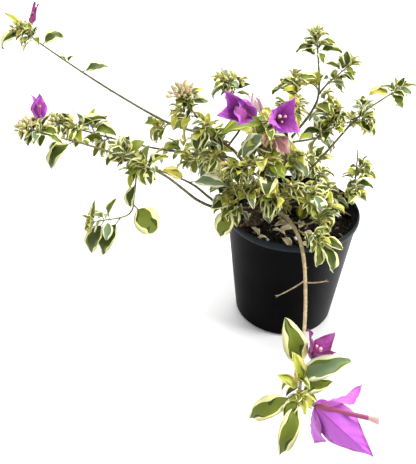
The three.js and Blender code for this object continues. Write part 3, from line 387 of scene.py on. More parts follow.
CANES: tuple[CaneSpec, ...] = (
    CaneSpec(
        "high_left", "trunk", at=42, root=2.3, tip=0.8, bough=0.4,
        through=((26, 147, 229), (59, 159, 247), (107, 166, 263), (181, 169, 306), (261, 170, 360)),
        clusters=((0.43, 3, 26), (0.48, 1, 20), (0.95, 3, 14), (1, 6, 16)),
        lone=((0.77, 0, 10, 26, 1.4), (0.82, 0, 51, 8, 1), (0.83, 180, 44, 7, 1), (0.92, 0, 18, 22, 1.4),
              (0.98, 180, -29, 28, 1), (0.99, 180, 50, 21, 0.6)),
        blooms=((0.975, 10, 66, 14, 23, 8, 29),),
    ),
    CaneSpec(
        "low_left", "trunk", at=31, root=2.2, tip=0.8, bough=0.36,
        through=((20, -173, 225), (64, -175, 236), (129, -177, 248), (219, -177, 277)),
        clusters=((0.41, 3, 24), (0.46, 3, 24), (0.53, 2, 22), (0.78, 3, 26), (0.84, 3, 25), (0.9, 3, 22),
              (0.95, 3, 18), (1, 5, 15)),
        lone=((0.92, 8, 15, 29, 0.7), (0.85, -17, 1, 23, 1)),
    ),
    CaneSpec(
        "bloom_left", "trunk", at=19, root=2.3, tip=0.8, bough=0.52,
        through=((42, -151, 173), (73, -152, 192), (118, -153, 239), (178, -155, 278), (241, -157, 307)),
        clusters=((0.57, 3, 26), (0.64, 4, 22), (0.8, 1, 16), (0.9, 2, 22), (0.95, 3, 18), (1, 6, 16)),
        lone=((0.85, -157, -46, 31, 1), (0.94, -27, -19, 16, 1), (0.97, -146, -49, 14, 1)),
        blooms=((0.957, 80, 81, 15, 23, 13, 29),),
    ),
    CaneSpec(
        "pair_left", "bloom_left", at=0.17, root=1.9, tip=0.8, bough=0.36,
        through=((58, -158, 190), (86, -157, 218), (146, -160, 252)),
        clusters=((0.72, 2, 28), (0.86, 4, 26), (1, 7, 22)),
        lone=((0.44, -13, 0, 37, 1), (0.48, 180, 22, 24, 1), (0.84, 0, 25, 22, 0.7),
              (0.98, -18, -36, 27, 0.8)),
    ),
    CaneSpec(
        "drooping_left", "pair_left", at=0.93, root=1.2, tip=0.7, bough=0,
        through=((146, -156, 216), (155, -156, 192), (193, -157, 191)),
        clusters=((1, 3, 20),),
        lone=((0.2, -147, -73, 26, 0.8), (0.47, -26, -55, 32, 1.5), (0.7, -149, -59, 40, 1),
              (0.83, 0, 67, 26, 0.6), (0.88, -156, -63, 36, 1), (1, 54, 76, 22, 0.6)),
    ),
    CaneSpec(
        "budding", "low_left", at=0.16, root=1.9, tip=0.9, bough=0.3,
        through=((33, -158, 222), (60, -162, 273), (83, -166, 310)),
        clusters=((0.36, 3, 24), (0.5, 3, 24), (0.64, 3, 26), (0.8, 4, 26), (0.9, 3, 22), (1, 6, 12)),
    ),
    CaneSpec(
        "tuft_left", "high_left", at=0.21, root=1.6, tip=0.8, bough=0,
        through=((32, 117, 263), (51, 132, 307)),
        clusters=((0.45, 2, 24), (0.78, 3, 24), (0.9, 3, 22), (1, 8, 14)),
    ),
    CaneSpec(
        "top", "trunk", at=49, root=2.4, tip=0.8, bough=0.36,
        through=((27, 27, 220), (66, 21, 271), (77, 23, 299), (76, 33, 356)),
        clusters=((0.5, 3, 24), (0.6, 3, 24), (0.68, 3, 24), (1, 6, 16)),
        lone=((0.88, 163, 13, 16, 1), (0.9, -80, -15, 18, 1), (0.91, -19, 1, 22, 1), (0.93, 90, -5, 20, 1),
              (0.94, 180, -17, 20, 1), (0.96, 0, -11, 19, 1)),
    ),
    CaneSpec(
        "top_left", "top", at=0.53, root=1.3, tip=0.7, bough=0,
        through=((44, 22, 297), (43, 22, 317)),
        clusters=((0.6, 3, 24), (1, 5, 18)),
        lone=((0.88, 180, -29, 21, 0.7), (0.96, 0, 3, 20, 1)),
    ),
    CaneSpec(
        "top_right", "top", at=0.66, root=1.3, tip=0.7, bough=0,
        through=((86, 21, 306), (112, 20, 326)),
        clusters=((0.35, 3, 18), (1, 4, 18)),
        lone=((0.74, 180, 22, 18, 1), (0.76, -19, -39, 16, 1), (0.87, 0, 16, 15, 0.8),
              (0.88, 90, -10, 18, 1)),
    ),
    CaneSpec(
        "crown_top", "top", at=0.4, root=1.5, tip=0.8, bough=0,
        through=((33, 18, 281), (46, 14, 291)),
        clusters=((0.45, 3, 24), (0.7, 4, 24), (1, 5, 22)),
    ),
    CaneSpec(
        "right_mid", "top", at=0.32, root=1.6, tip=0.8, bough=0.4,
        through=((73, 24, 238), (90, 22, 243), (105, 22, 268)),
        clusters=((0.5, 3, 30), (0.7, 3, 26), (0.85, 3, 24), (1, 5, 20)),
        lone=((0.62, 180, 3, 20, 1), (0.92, -50, -8, 15, 1)),
    ),
    CaneSpec(
        "bloom_centre", "top", at=0.14, root=1.9, tip=1, bough=0.32,
        through=((12, -65, 231), (30, -68, 284)),
        clusters=((0.42, 3, 30), (0.6, 3, 30), (0.75, 3, 30), (0.93, 2, 24)),
        lone=((0.88, -155, -42, 32, 1), (0.96, 110, -10, 30, 1), (0.97, -10, -20, 28, 1),
              (1, -174, -11, 44, 0.8), (0.64, -46, -48, 22, 1.2)),
        blooms=((1, -136, 30, 34, 46, 17, 58), (1, -76, 30, 24, 37, 32, -3),
              (0.96, 180, 59, 20, 22, 10, 29),
              (0.92, -106, -62, 6, 20, 14, 29), (0.92, -25, -45, 14, 22, 14, 29)),
    ),
    CaneSpec(
        "inner_centre", "bloom_centre", at=0.24, root=1.4, tip=0.8, bough=0,
        through=((26, -66, 222), (39, -77, 241)),
        clusters=((0.55, 3, 30), (0.8, 3, 30), (1, 4, 28)),
        lone=((1, -48, -12, 24, 1.3),),
    ),
    CaneSpec(
        "inner_back", "top", at=0.12, root=1.5, tip=0.8, bough=0,
        through=((34, 33, 204), (49, 22, 219)),
        clusters=((0.45, 3, 28), (0.7, 3, 28), (1, 4, 30)),
        lone=((0.66, -36, -29, 22, 1), (0.99, -44, -33, 24, 1)),
    ),
    CaneSpec(
        "crown_left", "low_left", at=0.07, root=1.6, tip=0.8, bough=0,
        through=((24, -118, 208), (49, -122, 236)),
        clusters=((0.4, 3, 24), (0.6, 4, 26), (0.8, 4, 26), (1, 5, 25)),
    ),
    CaneSpec(
        "crown_low_left", "bloom_left", at=0.09, root=1.5, tip=0.8, bough=0,
        through=((22, -158, 186), (47, -146, 208)),
        clusters=((0.4, 3, 26), (0.6, 4, 26), (0.8, 4, 27), (1, 5, 26)),
    ),
    CaneSpec(
        "inner_left", "trunk", at=26, root=1.5, tip=0.8, bough=0,
        through=((19, -105, 187), (35, -105, 206)),
        clusters=((0.4, 3, 24), (0.6, 3, 26), (0.8, 3, 26), (1, 5, 26)),
    ),
    CaneSpec(
        "left_rim", "trunk", at=10, root=1.5, tip=0.9, bough=0,
        through=((18, -112, 162), (42, -130, 186)),
        clusters=((0.5, 2, 28), (0.8, 3, 28), (1, 3, 24)),
        lone=((0.97, -66, -58, 22, 1), (1, -134, -66, 34, 1.2)),
    ),
    CaneSpec(
        "right", "trunk", at=24, root=2.4, tip=0.8, bough=0.6,
        through=((36, 3, 174), (89, 14, 225), (130, 17, 265), (184, 19, 291)),
        clusters=((0.65, 4, 18), (0.7, 5, 18), (0.75, 4, 18), (1, 6, 17)),
        lone=((0.68, -11, -31, 26, 1), (0.93, -61, -26, 20, 1.5), (0.93, 180, -5, 22, 1.1),
              (0.96, 180, 12, 17, 1), (0.97, 80, -10, 18, 1), (1, 0, 2, 15, 0.7)),
    ),
    CaneSpec(
        "rim_right", "trunk", at=15, root=1.9, tip=0.7, bough=0.21,
        through=((62, 12, 163), (103, 14, 163), (133, 15, 166), (137, 17, 199), (135, 17, 222)),
        clusters=((0.28, 3, 24), (0.37, 4, 24), (0.46, 4, 26), (0.55, 3, 26), (0.63, 3, 24), (0.74, 4, 20),
              (0.83, 4, 16)),
        lone=((0.5, -62, -20, 22, 1.2), (0.67, -29, -16, 22, 1), (0.74, -23, -6, 20, 1),
              (0.84, -29, -16, 22, 0.8), (0.71, -127, -13, 18, 1)),
    ),
    CaneSpec(
        "front", "trunk", at=9, root=2.7, tip=1.4, bough=0.82,
        through=((18, -52, 165), (51, -44, 170), (101, -62, 168), (166, -75, 153), (282, -86, 161)),
        clusters=((1, 3, 18),),
        lone=((0.92, 113, 47, 40, 1), (0.95, 0, 32, 38, 0.72), (0.96, 129, 66, 26, 0.7),
              (0.98, 170, 35, 20, 0.8), (0.99, 0, 28, 24, 1), (1, 180, -38, 40, 0.8),
              (1, -118, -46, 41, 0.7),
              (1, -137, -34, 18, 1), (1, 10, -55, 16, 1)),
        blooms=((0.93, 14, 66, 20, 30, 32, 116), (1, -1, -42, 20, 57, 41, 24)),
        snags=((0.52, -0.85, 28), (0.51, 2.7, 32)),
    ),
    CaneSpec(
        "inner_front", "front", at=0.05, root=1.4, tip=0.8, bough=0,
        through=((25, -62, 180), (41, -63, 197)),
        clusters=((0.6, 3, 26), (1, 6, 28)),
    ),
    CaneSpec(
        "inner_mid", "trunk", at=14, root=1.5, tip=0.8, bough=0,
        through=((28, -32, 176), (49, -35, 195)),
        clusters=((0.45, 3, 24), (0.62, 3, 26), (0.8, 4, 26), (1, 5, 25)),
    ),
    CaneSpec(
        "inner_right", "rim_right", at=0.238, root=1.3, tip=0.8, bough=0,
        through=((64, -2, 173), (72, -12, 186)),
        clusters=((0.5, 3, 24), (0.8, 4, 25), (1, 5, 25)),
    ),
    CaneSpec(
        "front_right", "front", at=0.27, root=1.2, tip=0.7, bough=0,
        through=((101, -56, 178), (111, -54, 178)),
        clusters=((0.6, 2, 24), (1, 4, 20)),
        lone=((0.97, -17, -18, 24, 0.8), (0.98, -87, -73, 26, 0.72), (1, -32, -61, 35, 0.78)),
    ),
    CaneSpec(
        "front_up", "front", at=0.22, root=1.2, tip=0.7, bough=0,
        through=((89, -49, 183), (98, -38, 199)),
        clusters=((0.6, 3, 22), (1, 5, 24)),
    ),
    CaneSpec(
        "back", "trunk", at=36, root=2.2, tip=0.8, bough=0.3,
        through=((52, 78, 212), (98, 78, 218), (150, 80, 188)),
        clusters=((0.42, 3, 28), (0.55, 3, 28), (0.68, 4, 28), (0.82, 3, 26), (1, 5, 24)),
        blooms=((0.9, 70, 30, 10, 38, 34, 29),),
    ),
    CaneSpec(
        "back_left", "back", at=0.16, root=1.9, tip=0.8, bough=0.34,
        through=((52, 128, 205), (92, 122, 196), (130, 118, 158)),
        clusters=((0.42, 3, 28), (0.56, 3, 28), (0.72, 4, 28), (0.86, 3, 26), (1, 5, 24)),
    ),
    CaneSpec(
        "back_right", "back", at=0.28, root=1.9, tip=0.8, bough=0.34,
        through=((88, 56, 192), (124, 50, 176), (158, 47, 138)),
        clusters=((0.42, 3, 28), (0.56, 3, 28), (0.72, 4, 26), (0.86, 3, 24), (1, 5, 22)),
    ),
)

BLOOM_STATES: dict[str, tuple[Bloom, ...]] = {
    "high_left": (Bloom.DEEP,),
    "bloom_centre": (Bloom.BRIGHT, Bloom.BRIGHT, Bloom.YOUNG, Bloom.SPENT, Bloom.FADED),
    "front": (Bloom.RICH, Bloom.PALE),
}

LONE_TINTS: dict[str, tuple[Tint, ...]] = {
    "high_left": (Tint.EDGED, Tint.EDGED, Tint.BRIGHT, Tint.EDGED, Tint.EDGED, Tint.YOUNG),
    "pair_left": (Tint.GREY, Tint.SUNNED, Tint.YOUNG, Tint.EDGED),
    "top_right": (Tint.EDGED, Tint.EDGED, Tint.BRIGHT, Tint.GREY),
    "right": (Tint.EDGED, Tint.EDGED, Tint.SUNNED, Tint.GREY, Tint.EDGED, Tint.BRIGHT),
    "bloom_centre": (Tint.GREY, Tint.BRIGHT, Tint.GREY, Tint.OLIVE, Tint.OLIVE),
    "inner_centre": (Tint.OLIVE,),
    "inner_back": (Tint.GREY, Tint.GREY),
    "rim_right": (Tint.GREY, Tint.GREY, Tint.EDGED, Tint.BRIGHT, Tint.YOUNG),
    "front": (Tint.BRIGHT, Tint.GREY, Tint.YOUNG, Tint.YOUNG, *[Tint.BRIGHT] * 4, Tint.YOUNG),
}


@dataclass(frozen=True)
class Ground:
    """The pot and trunk sizes that the growth rule steers by, in millimetres."""

    pot_height: float = 158.0
    rim_radius: float = 82.5
    top_radius: float = 79.6
    wall: float = 1.8
    soil_top: float = 140.0
    foot: tuple[float, float] = (-50.0, -6.0)
    base_height: float = 140.3
    trunk_height: float = 50.0
    lean: float = math.radians(14.0)
    neck_radius: float = 5.4
    thinning: float = 0.9
    flare: float = 6.0
    flare_height: float = 7.0

    def trunk_point(self, height: float) -> Vector:
        """Give the point on the trunk's axis at a height above its foot."""
        x, y = self.foot
        return Vector((x + math.tan(self.lean) * height, y, self.base_height + height))

    def trunk_radius(self, height: float) -> float:
        """Give the trunk's radius at a height above its foot."""
        flared = self.flare * math.exp(-height / self.flare_height)
        return self.neck_radius + flared - self.thinning * height / self.trunk_height

    def pointed(self, spot: Place) -> Vector:
        """Turn a place round the trunk into a point.

        Args:
            spot: Its reach, its bearing and its height.

        Returns:
            The point.
        """
        turn = math.radians(spot[1])
        x, y = self.foot
        return Vector((x + spot[0] * math.cos(turn), y + spot[0] * math.sin(turn), spot[2]))


GROUND = Ground()


class Draw:
    """Repeatable numbers from 0 to 1, the same as the source's."""

    def __init__(self, seed: int) -> None:
        """Start the run of numbers at a seed."""
        self.state = seed & WORD

    def __call__(self) -> float:
        """Give the next number.

        Returns:
            A number from 0 to just under 1.
        """
        self.state = (self.state + 0x6D2B79F5) & WORD
        mixed = ((self.state ^ (self.state >> 15)) * (self.state | 1)) & WORD
        mixed ^= (mixed + (((mixed ^ (mixed >> 7)) * (mixed | 61)) & WORD)) & WORD
        return ((mixed ^ (mixed >> 14)) & WORD) / 2**32

    def between(self, low: float, high: float) -> float:
        """Give a number between two others."""
        return low + (high - low) * self()

    def angle(self, low: float, high: float) -> float:
        """Give an angle in radians between two others in degrees."""
        return math.radians(self.between(low, high))

    def pick(self, choices: Sequence[Choice]) -> Choice:
        """Pick one of some choices."""
        return choices[int(self() * len(choices))]


@dataclass
class Station:
    """A place on a cane or twig, with its direction and the two directions square to it."""

    point: Vector
    along: Vector
    across: Vector
    lift: Vector

    @staticmethod
    def at_tip(point: Vector, along: Vector) -> "Station":
        """Make a station at a twig's tip, where it doesn't matter how it is turned."""
        across = along.orthogonal().normalized()
        return Station(point, along, across, across.cross(along))

    def sideways(self, turn: float) -> Vector:
        """Give the direction square to the cane at a turn."""
        return self.across * math.cos(turn) + self.lift * math.sin(turn)

    def leaning(self, spread: float, turn: float) -> Vector:
        """Give the direction that leans out from the cane's own by an angle, at a turn."""
        return self.along * math.cos(spread) + self.sideways(turn) * math.sin(spread)


class Cane:
    """One cane: a smooth curve through its points, tapering from root to tip."""

    STEPS = 200
    SHORT_REACH = 12.0
    TAPER = 0.8
    NUDGE = 1e-4

    def __init__(self, spec: CaneSpec, start: Vector) -> None:
        """Lay the cane's curve.

        Args:
            spec: The cane's sizes.
            start: Where it leaves its parent.
        """
        self.spec = spec
        self.knots = [start, *(GROUND.pointed(spot) for spot in spec.through)]
        places = [self._at(step / self.STEPS) for step in range(self.STEPS + 1)]
        runs = [0.0] + [(b - a).length for a, b in zip(places, places[1:])]
        self.travelled = np.cumsum(runs)
        self.length = float(self.travelled[-1])
        reach = (self.knots[-1] - start) * Vector((1.0, 1.0, 0.0))
        is_long = reach.length > self.SHORT_REACH
        self.across = (Vector((-reach.y, reach.x, 0.0)) if is_long else Vector((0.0, 1.0, 0.0))).normalized()

    def _at(self, along: float) -> Vector:
        """Give a point of the smooth curve.

        Args:
            along: The share of the curve's own parameter.

        Returns:
            The point, in millimetres.
        """
        spans = len(self.knots) - 1
        place = spans * min(max(along, 0.0), 1.0)
        span = min(int(place), spans - 1)
        part = place - span
        before, after = self.knots[span], self.knots[span + 1]
        earlier = self.knots[span - 1] if span > 0 else before * 2 - after
        later = self.knots[span + 2] if span < spans - 1 else after * 2 - before
        leave, reach = (after - earlier) * 0.5, (later - before) * 0.5
        return (before + leave * part + (after * 3 - before * 3 - leave * 2 - reach) * part**2
                + (before * 2 - after * 2 + leave + reach) * part**3)

    def _parameter(self, share: float) -> float:
        """Turn a share of the cane's length into the curve's own parameter."""
        steps = np.arange(self.STEPS + 1) / self.STEPS
        return float(np.interp(share * self.length, self.travelled, steps))

    def point(self, share: float) -> Vector:
        """Give the point at a share of the cane's length."""
        return self._at(self._parameter(share))

    def radius(self, share: float) -> float:
        """Give the radius at a share of the cane's length."""
        return self.spec.root + (self.spec.tip - self.spec.root) * max(share, 0.0) ** self.TAPER

    def station(self, share: float) -> Station:
        """Give the place and directions at a share of the cane's length.

        Args:
            share: The share of the length.

        Returns:
            The station, its across direction level.
        """
        middle = self._parameter(share)
        along = (self._at(middle + self.NUDGE) - self._at(middle - self.NUDGE)).normalized()
        across = (self.across - along * self.across.dot(along)).normalized()
        return Station(self._at(middle), along, across, across.cross(along))


@dataclass(frozen=True)
class Spur:
    """A cluster's side twig, or the stretch of stem that its leaves leave from."""

    station: Station
    share: float
    stretch: float
    turn: float
    reach: float
    count: int
    length: float
    on_stem: bool
    start: Vector
    along: Vector = field(default_factory=Vector)
    end: Vector = field(default_factory=Vector)

    LEAN = math.radians(48)

    def aimed(self, turn: float) -> "Spur":
        """Turn the spur round its stem.

        Args:
            turn: The new turn.

        Returns:
            The turned spur, with its direction and its end.
        """
        heading = self.station.leaning(self.LEAN, turn)
        if self.on_stem:
            return replace(self, turn=turn, along=self.station.along, end=self.station.point)
        return replace(self, turn=turn, along=heading, end=self.start + heading * self.reach)


@dataclass
class Blade:
    """A leaf's or bract's place: its root, its directions and its length."""

    root: Vector
    along: Vector
    upper: Vector
    across: Vector
    length: float
    breadth: float = 1.0
    tint: Tint | Bloom = Tint.EDGED

    def matrix(self) -> np.ndarray:
        """Give the placing of a template that lies along +Y with its upper side at +Z.

        Returns:
            The four by four placing, in metres.
        """
        breadth = self.along.cross(self.upper) * self.length * self.breadth
        turned = np.array([breadth, self.along * self.length, self.upper * self.length]).T
        placed = np.eye(4)
        placed[:3, :3] = turned * METRES
        placed[:3, 3] = np.array(self.root) * METRES
        return placed

    def probes(self) -> np.ndarray:
        """Give points spread over the blade, close enough together to feel a twig between them."""
        frame = np.array([self.across * self.breadth, self.along, self.upper]) * self.length
        return np.array(self.root) + LEAF.probes @ frame


@dataclass
class Stalk:
    """A bloom's stalk, the way that the bloom faces and how far its bracts open."""

    start: Vector
    end: Vector
    axis: Vector
    bract: float
    opening: float
    turn: float
    state: Bloom

    def frame(self) -> Station:
        """Give the station at the bloom's heart, its across direction level."""
        level = self.axis.cross(UP).normalized()
        return Station(self.end, self.axis, level, level.cross(self.axis))


@dataclass
class Mass:
    """A mass of foliage: its cane's stem, side twigs, leaves and blooms; its lone leaves come first."""

    cane: Cane
    draw: Draw
    spurs: list[Spur]
    stalks: list[Stalk]
    leaves: list[Blade] = field(default_factory=list)
    bracts: list[Blade] = field(default_factory=list)
    lone: int = 0

    @property
    def node(self) -> str:
        """Give the name of the mass's node."""
        return f"{self.cane.spec.name}_foliage"


def headed(bearing: float, rise: float) -> Vector:
    """Give the direction at a bearing and a rise above level, both in degrees."""
    turn, lift = math.radians(bearing), math.radians(rise)
    return Vector((math.cos(turn) * math.cos(lift), math.sin(turn) * math.cos(lift), math.sin(lift)))


def laid_blade(root: Vector, direction: Vector, face: Vector, length: float, roll: float = 0.0) -> Blade:
    """Turn a blade so that its upper side looks as nearly as it can along face.

    Args:
        root: Where the blade leaves its twig.
        direction: The way that it points.
        face: The way that its upper side should look.
        length: The blade's length.
        roll: How far it is turned about its own length.

    Returns:
        The placed blade.
    """
    along = direction.normalized()
    flat = face - along * face.dot(along)
    if flat.length < STEEP:
        flat = Vector((along.y, -along.x, 0.2)) - along * 0.2 * along.z
    upper = Matrix.Rotation(roll, 3, along) @ flat.normalized()
    return Blade(root, along, upper, upper.cross(along), length)


class LeafForm:
    """A plain leaf's proportions, as shares of its blade's length, and the points that feel for room."""

    WIDTH = 0.52
    STALK = 0.2
    WIDEST = 0.42
    FOLD = 0.06
    DIP = 0.16
    SIDES = (-1, -0.5, 0, 0.5, 1)
    FIRST, STEP, STEPS = 0.16, 0.12, 7
    OUTER = 17

    def __init__(self) -> None:
        """Work out the points spread over the leaf and the two that mark its outer half's midrib."""
        shares = [self.FIRST + self.STEP * step for step in range(1, self.STEPS + 1)]
        self.probes = np.array([self._place(share, side) for share in shares for side in self.SIDES])
        self.midline = np.array([self._place(0.5, 0), self._place(1, 0)])

    def _place(self, share: float, side: float) -> Place:
        """Work out how far a point of the leaf lies across it, along it and above it.

        Args:
            share: Its share along the leaf and its stalk.
            side: Its share of the half width, by side.

        Returns:
            The three shares of the blade's length.
        """
        run = share * (1 + self.STALK)
        inside = max(0.0, run - self.STALK)
        wide = inside / self.WIDEST if inside < self.WIDEST else (1 - inside) / (1 - self.WIDEST)
        return side * self.WIDTH / 2 * wide, run, self.FOLD * wide * abs(side) - self.DIP * inside**2


LEAF = LeafForm()


class Segments:
    """Straight stretches of twig or limb, for measuring how near a point comes."""

    def __init__(self, stretches: Sequence[Stretch]) -> None:
        """Store the stretches.

        Args:
            stretches: The two ends, the owner and the radius of each.
        """
        self.starts = np.array([np.array(start) for start, _, _, _ in stretches]).reshape(-1, 3)
        self.runs = np.array([np.array(end - start) for start, end, _, _ in stretches]).reshape(-1, 3)
        self.squares = np.maximum((self.runs**2).sum(1), 1e-9)
        self.owners = np.array([owner for _, _, owner, _ in stretches])
        self.radii = np.array([radius for _, _, _, radius in stretches])

    def gaps(self, points: np.ndarray) -> np.ndarray:
        """Measure the distance from each point to each stretch's axis.

        Args:
            points: The points, one in each row.

        Returns:
            A row of distances for each point.
        """
        away = points[:, None, :] - self.starts[None]
        share = np.clip((away * self.runs[None]).sum(2) / self.squares, 0.0, 1.0)
        return np.linalg.norm(away - share[:, :, None] * self.runs[None], axis=2)


class GrowthRule:
    """Grows every cane and mass by the source's seeded rule, with finer leaves."""

    SEED, SEED_STEP = 4200, 17
    STRETCH_LENGTH = 8.0
    TIP_STRETCH = 16.0
    SPUR_TURN_PLAY = 1.2
    SPUR_REACH, SPUR_REACH_EACH = 4.0, 2.4
    ROOT_SHARE = 0.25
    TURN_PLAY, ROLL_PLAY = 0.7, 1.1
    SPREAD, SPREAD_LOSS, SPREAD_PLAY = 1.25, 0.6, 0.4
    DROOP, DROOP_PLAY = 0.12, 0.4
    LENGTH_LOSS = 0.28
    TURNS_TRIED = 7
    SPUR_PROBES = (0.3, 0.65, 1.0)
    OWN_SPACE = 1.2
    LIMB_CLEAR = 1.0
    LONE_CLEAR = 2.4
    POT_CLEAR = 1.6
    SMALLEST_CLUSTER = 3
    FINER = 3.1
    FINER_LENGTH = 0.87
    BREADTHS = (0.85, 1.4)
    CROWDING = 0.1
    NEIGHBOURS = 14
    BLOOM_ROOM = 0.8
    LIGHT = Vector((0.0, -0.45, 1.0))
    TIP_SHARE, TIP_YOUNG = 0.82, 0.6
    TINT_LIMITS = ((0.42, Tint.EDGED), (0.68, Tint.BRIGHT), (0.82, Tint.GREY), (0.94, Tint.YOUNG),
                   (1.0, Tint.OLIVE))
    BRACTS = 3
    BRACT_SINK = 1.5
    FURLED, CUPPED = math.radians(10), math.radians(30)
    FURLED_BREADTH, CUPPED_BREADTH, OPEN_BREADTH, WITHERED_BREADTH = 0.4, 0.86, 0.74, 1.25

    def __init__(
        self, specs: Sequence[CaneSpec], bloom_states: Mapping[str, tuple[Bloom, ...]],
        lone_tints: Mapping[str, tuple[Tint, ...]],
    ) -> None:
        """Lay out the canes.

        Args:
            specs: Each cane's sizes, parents first.
            bloom_states: The state of each cane's blooms, where they aren't all bright.
            lone_tints: The colourings of each cane's lone leaves.
        """
        self.bloom_states = bloom_states
        self.lone_tints = lone_tints
        self.canes: dict[str, Cane] = {}
        for spec in specs:
            on_trunk = spec.parent == "trunk"
            start = GROUND.trunk_point(spec.at) if on_trunk else self.canes[spec.parent].point(spec.at)
            self.canes[spec.name] = Cane(spec, start)
        self.masses: list[Mass] = []

    def grow(self) -> list[Mass]:
        """Grow the masses.

        Returns:
            The masses, with their twigs, leaves and bracts placed.
        """
        for index, cane in enumerate(self.canes.values()):
            draw = Draw(self.SEED + self.SEED_STEP * index)
            self.masses.append(Mass(cane, draw, self._spurs(cane, draw), self._stalks(cane)))
        limbs = [
            part for cane in self.canes.values() if cane.spec.bough > 0
            for part in self._stretches(cane, 0, cane.spec.bough, -1)
        ]
        limbs.append((GROUND.trunk_point(0), GROUND.trunk_point(GROUND.trunk_height), -1, GROUND.neck_radius))
        self.limbs = Segments(limbs)
        twigs: list[Stretch] = []
        for owner, mass in enumerate(self.masses):
            twigs += self._stretches(mass.cane, mass.cane.spec.bough, 1, owner)
            twigs += [(stalk.start, stalk.end + stalk.axis * stalk.bract * self.BLOOM_ROOM, owner, 1.0)
                      for stalk in mass.stalks]
        self.twigs = Segments(twigs)
        for owner, mass in enumerate(self.masses):
            self._lay_lone(mass, owner)
        for owner, mass in enumerate(self.masses):
            twigs += [(leaf.root, leaf.root + leaf.along * leaf.length * (1 + LEAF.STALK), owner, 1.0)
                      for leaf in mass.leaves]
        self.twigs = Segments(twigs)
        for owner, mass in enumerate(self.masses):
            mass.spurs = [aimed for spur in mass.spurs if (aimed := self._first_clear(spur, owner))]
        for owner, mass in enumerate(self.masses):
            twigs += [(spur.start, spur.end, owner, 1.0) for spur in mass.spurs if not spur.on_stem]
        self.twigs = Segments(twigs)
        for owner, mass in enumerate(self.masses):
            self._leaf_out(mass, owner)
            self._open_blooms(mass)
        return self.masses

    def _spurs(self, cane: Cane, draw: Draw) -> list[Spur]:
        """Give a cane's leaf clusters their twigs.

        Args:
            cane: The cane.
            draw: The mass's run of numbers.

        Returns:
            A spur for each cluster, not aimed yet.
        """
        spurs = []
        for index, (share, count, length) in enumerate(cane.spec.clusters):
            turn = index * GOLDEN_TURN + draw() * self.SPUR_TURN_PLAY
            reach = (self.SPUR_REACH + self.SPUR_REACH_EACH * count) * (0.85 + 0.3 * draw())
            on_stem = share == 1 or count < self.SMALLEST_CLUSTER
            stretch = (self.TIP_STRETCH if share == 1 else 1) / cane.length if on_stem else 0.0
            spurs.append(Spur(cane.station(share), share, stretch, turn, reach, count, length, on_stem,
                              cane.point(share - stretch)))
        return spurs

    def _stalks(self, cane: Cane) -> list[Stalk]:
        """Give a cane's blooms their stalks.

        Args:
            cane: The cane.

        Returns:
            A stalk for each bloom.
        """
        states = self.bloom_states.get(cane.spec.name, ())
        stalks = []
        for index, (share, bearing, rise, stalk, bract, opening, turn) in enumerate(cane.spec.blooms):
            axis = headed(bearing, rise)
            start = cane.point(share)
            state = states[index] if index < len(states) else Bloom.BRIGHT
            stalks.append(Stalk(start, start + axis * stalk, axis, bract, math.radians(opening),
                                math.radians(turn), state))
        return stalks

    def _stretches(self, cane: Cane, low: float, high: float, owner: int) -> list[Stretch]:
        """Cut a stretch of cane into short straight pieces.

        Args:
            cane: The cane.
            low: The share of its length where the stretch starts.
            high: The share where it ends.
            owner: The number of the mass that it belongs to.

        Returns:
            The pieces.
        """
        count = max(2, math.ceil((high - low) * cane.length / self.STRETCH_LENGTH))
        cuts = [low + (high - low) * step / count for step in range(count + 1)]
        return [(cane.point(a), cane.point(b), owner, cane.radius(a)) for a, b in zip(cuts, cuts[1:])]

    def _is_clear(self, points: np.ndarray) -> bool:
        """Tell whether points keep clear of the limbs, the pot and the soil.

        Args:
            points: The points, one in each row.

        Returns:
            Whether all of them do.
        """
        radius = np.hypot(points[:, 0], points[:, 1])
        height = points[:, 2]
        over = (height > GROUND.pot_height + self.POT_CLEAR) | (radius > GROUND.rim_radius + self.POT_CLEAR)
        inner = GROUND.top_radius - GROUND.wall - self.POT_CLEAR
        inside = (radius < inner) & (height > GROUND.soil_top + 1)
        if not np.all((height > self.POT_CLEAR) & (over | inside)):
            return False
        return bool(np.all(self.limbs.gaps(points) >= self.limbs.radii + self.LIMB_CLEAR))

    def _has_room(self, points: np.ndarray, owner: int) -> bool:
        """Tell whether points keep to their mass's own space, clear of limbs, pot and soil.

        Args:
            points: The points, one in each row.
            owner: The number of their mass.

        Returns:
            Whether all of them do.
        """
        if not self._is_clear(points):
            return False
        gaps = self.twigs.gaps(points)
        own = gaps[:, self.twigs.owners == owner].min(1)
        other = gaps[:, self.twigs.owners != owner].min(1)
        return bool(np.all(own + self.OWN_SPACE < other))

    def _first_clear(self, spur: Spur, owner: int) -> Spur | None:
        """Turn a spur until it has room.

        Args:
            spur: The spur.
            owner: The number of its mass.

        Returns:
            The turned spur, or None where no turn has room.
        """
        for turn in range(self.TURNS_TRIED):
            aimed = spur.aimed(spur.turn + turn * math.tau / self.TURNS_TRIED)
            probes = np.array([np.array(aimed.start.lerp(aimed.end, share)) for share in self.SPUR_PROBES])
            if aimed.on_stem or self._has_room(probes, owner):
                return aimed
        return None

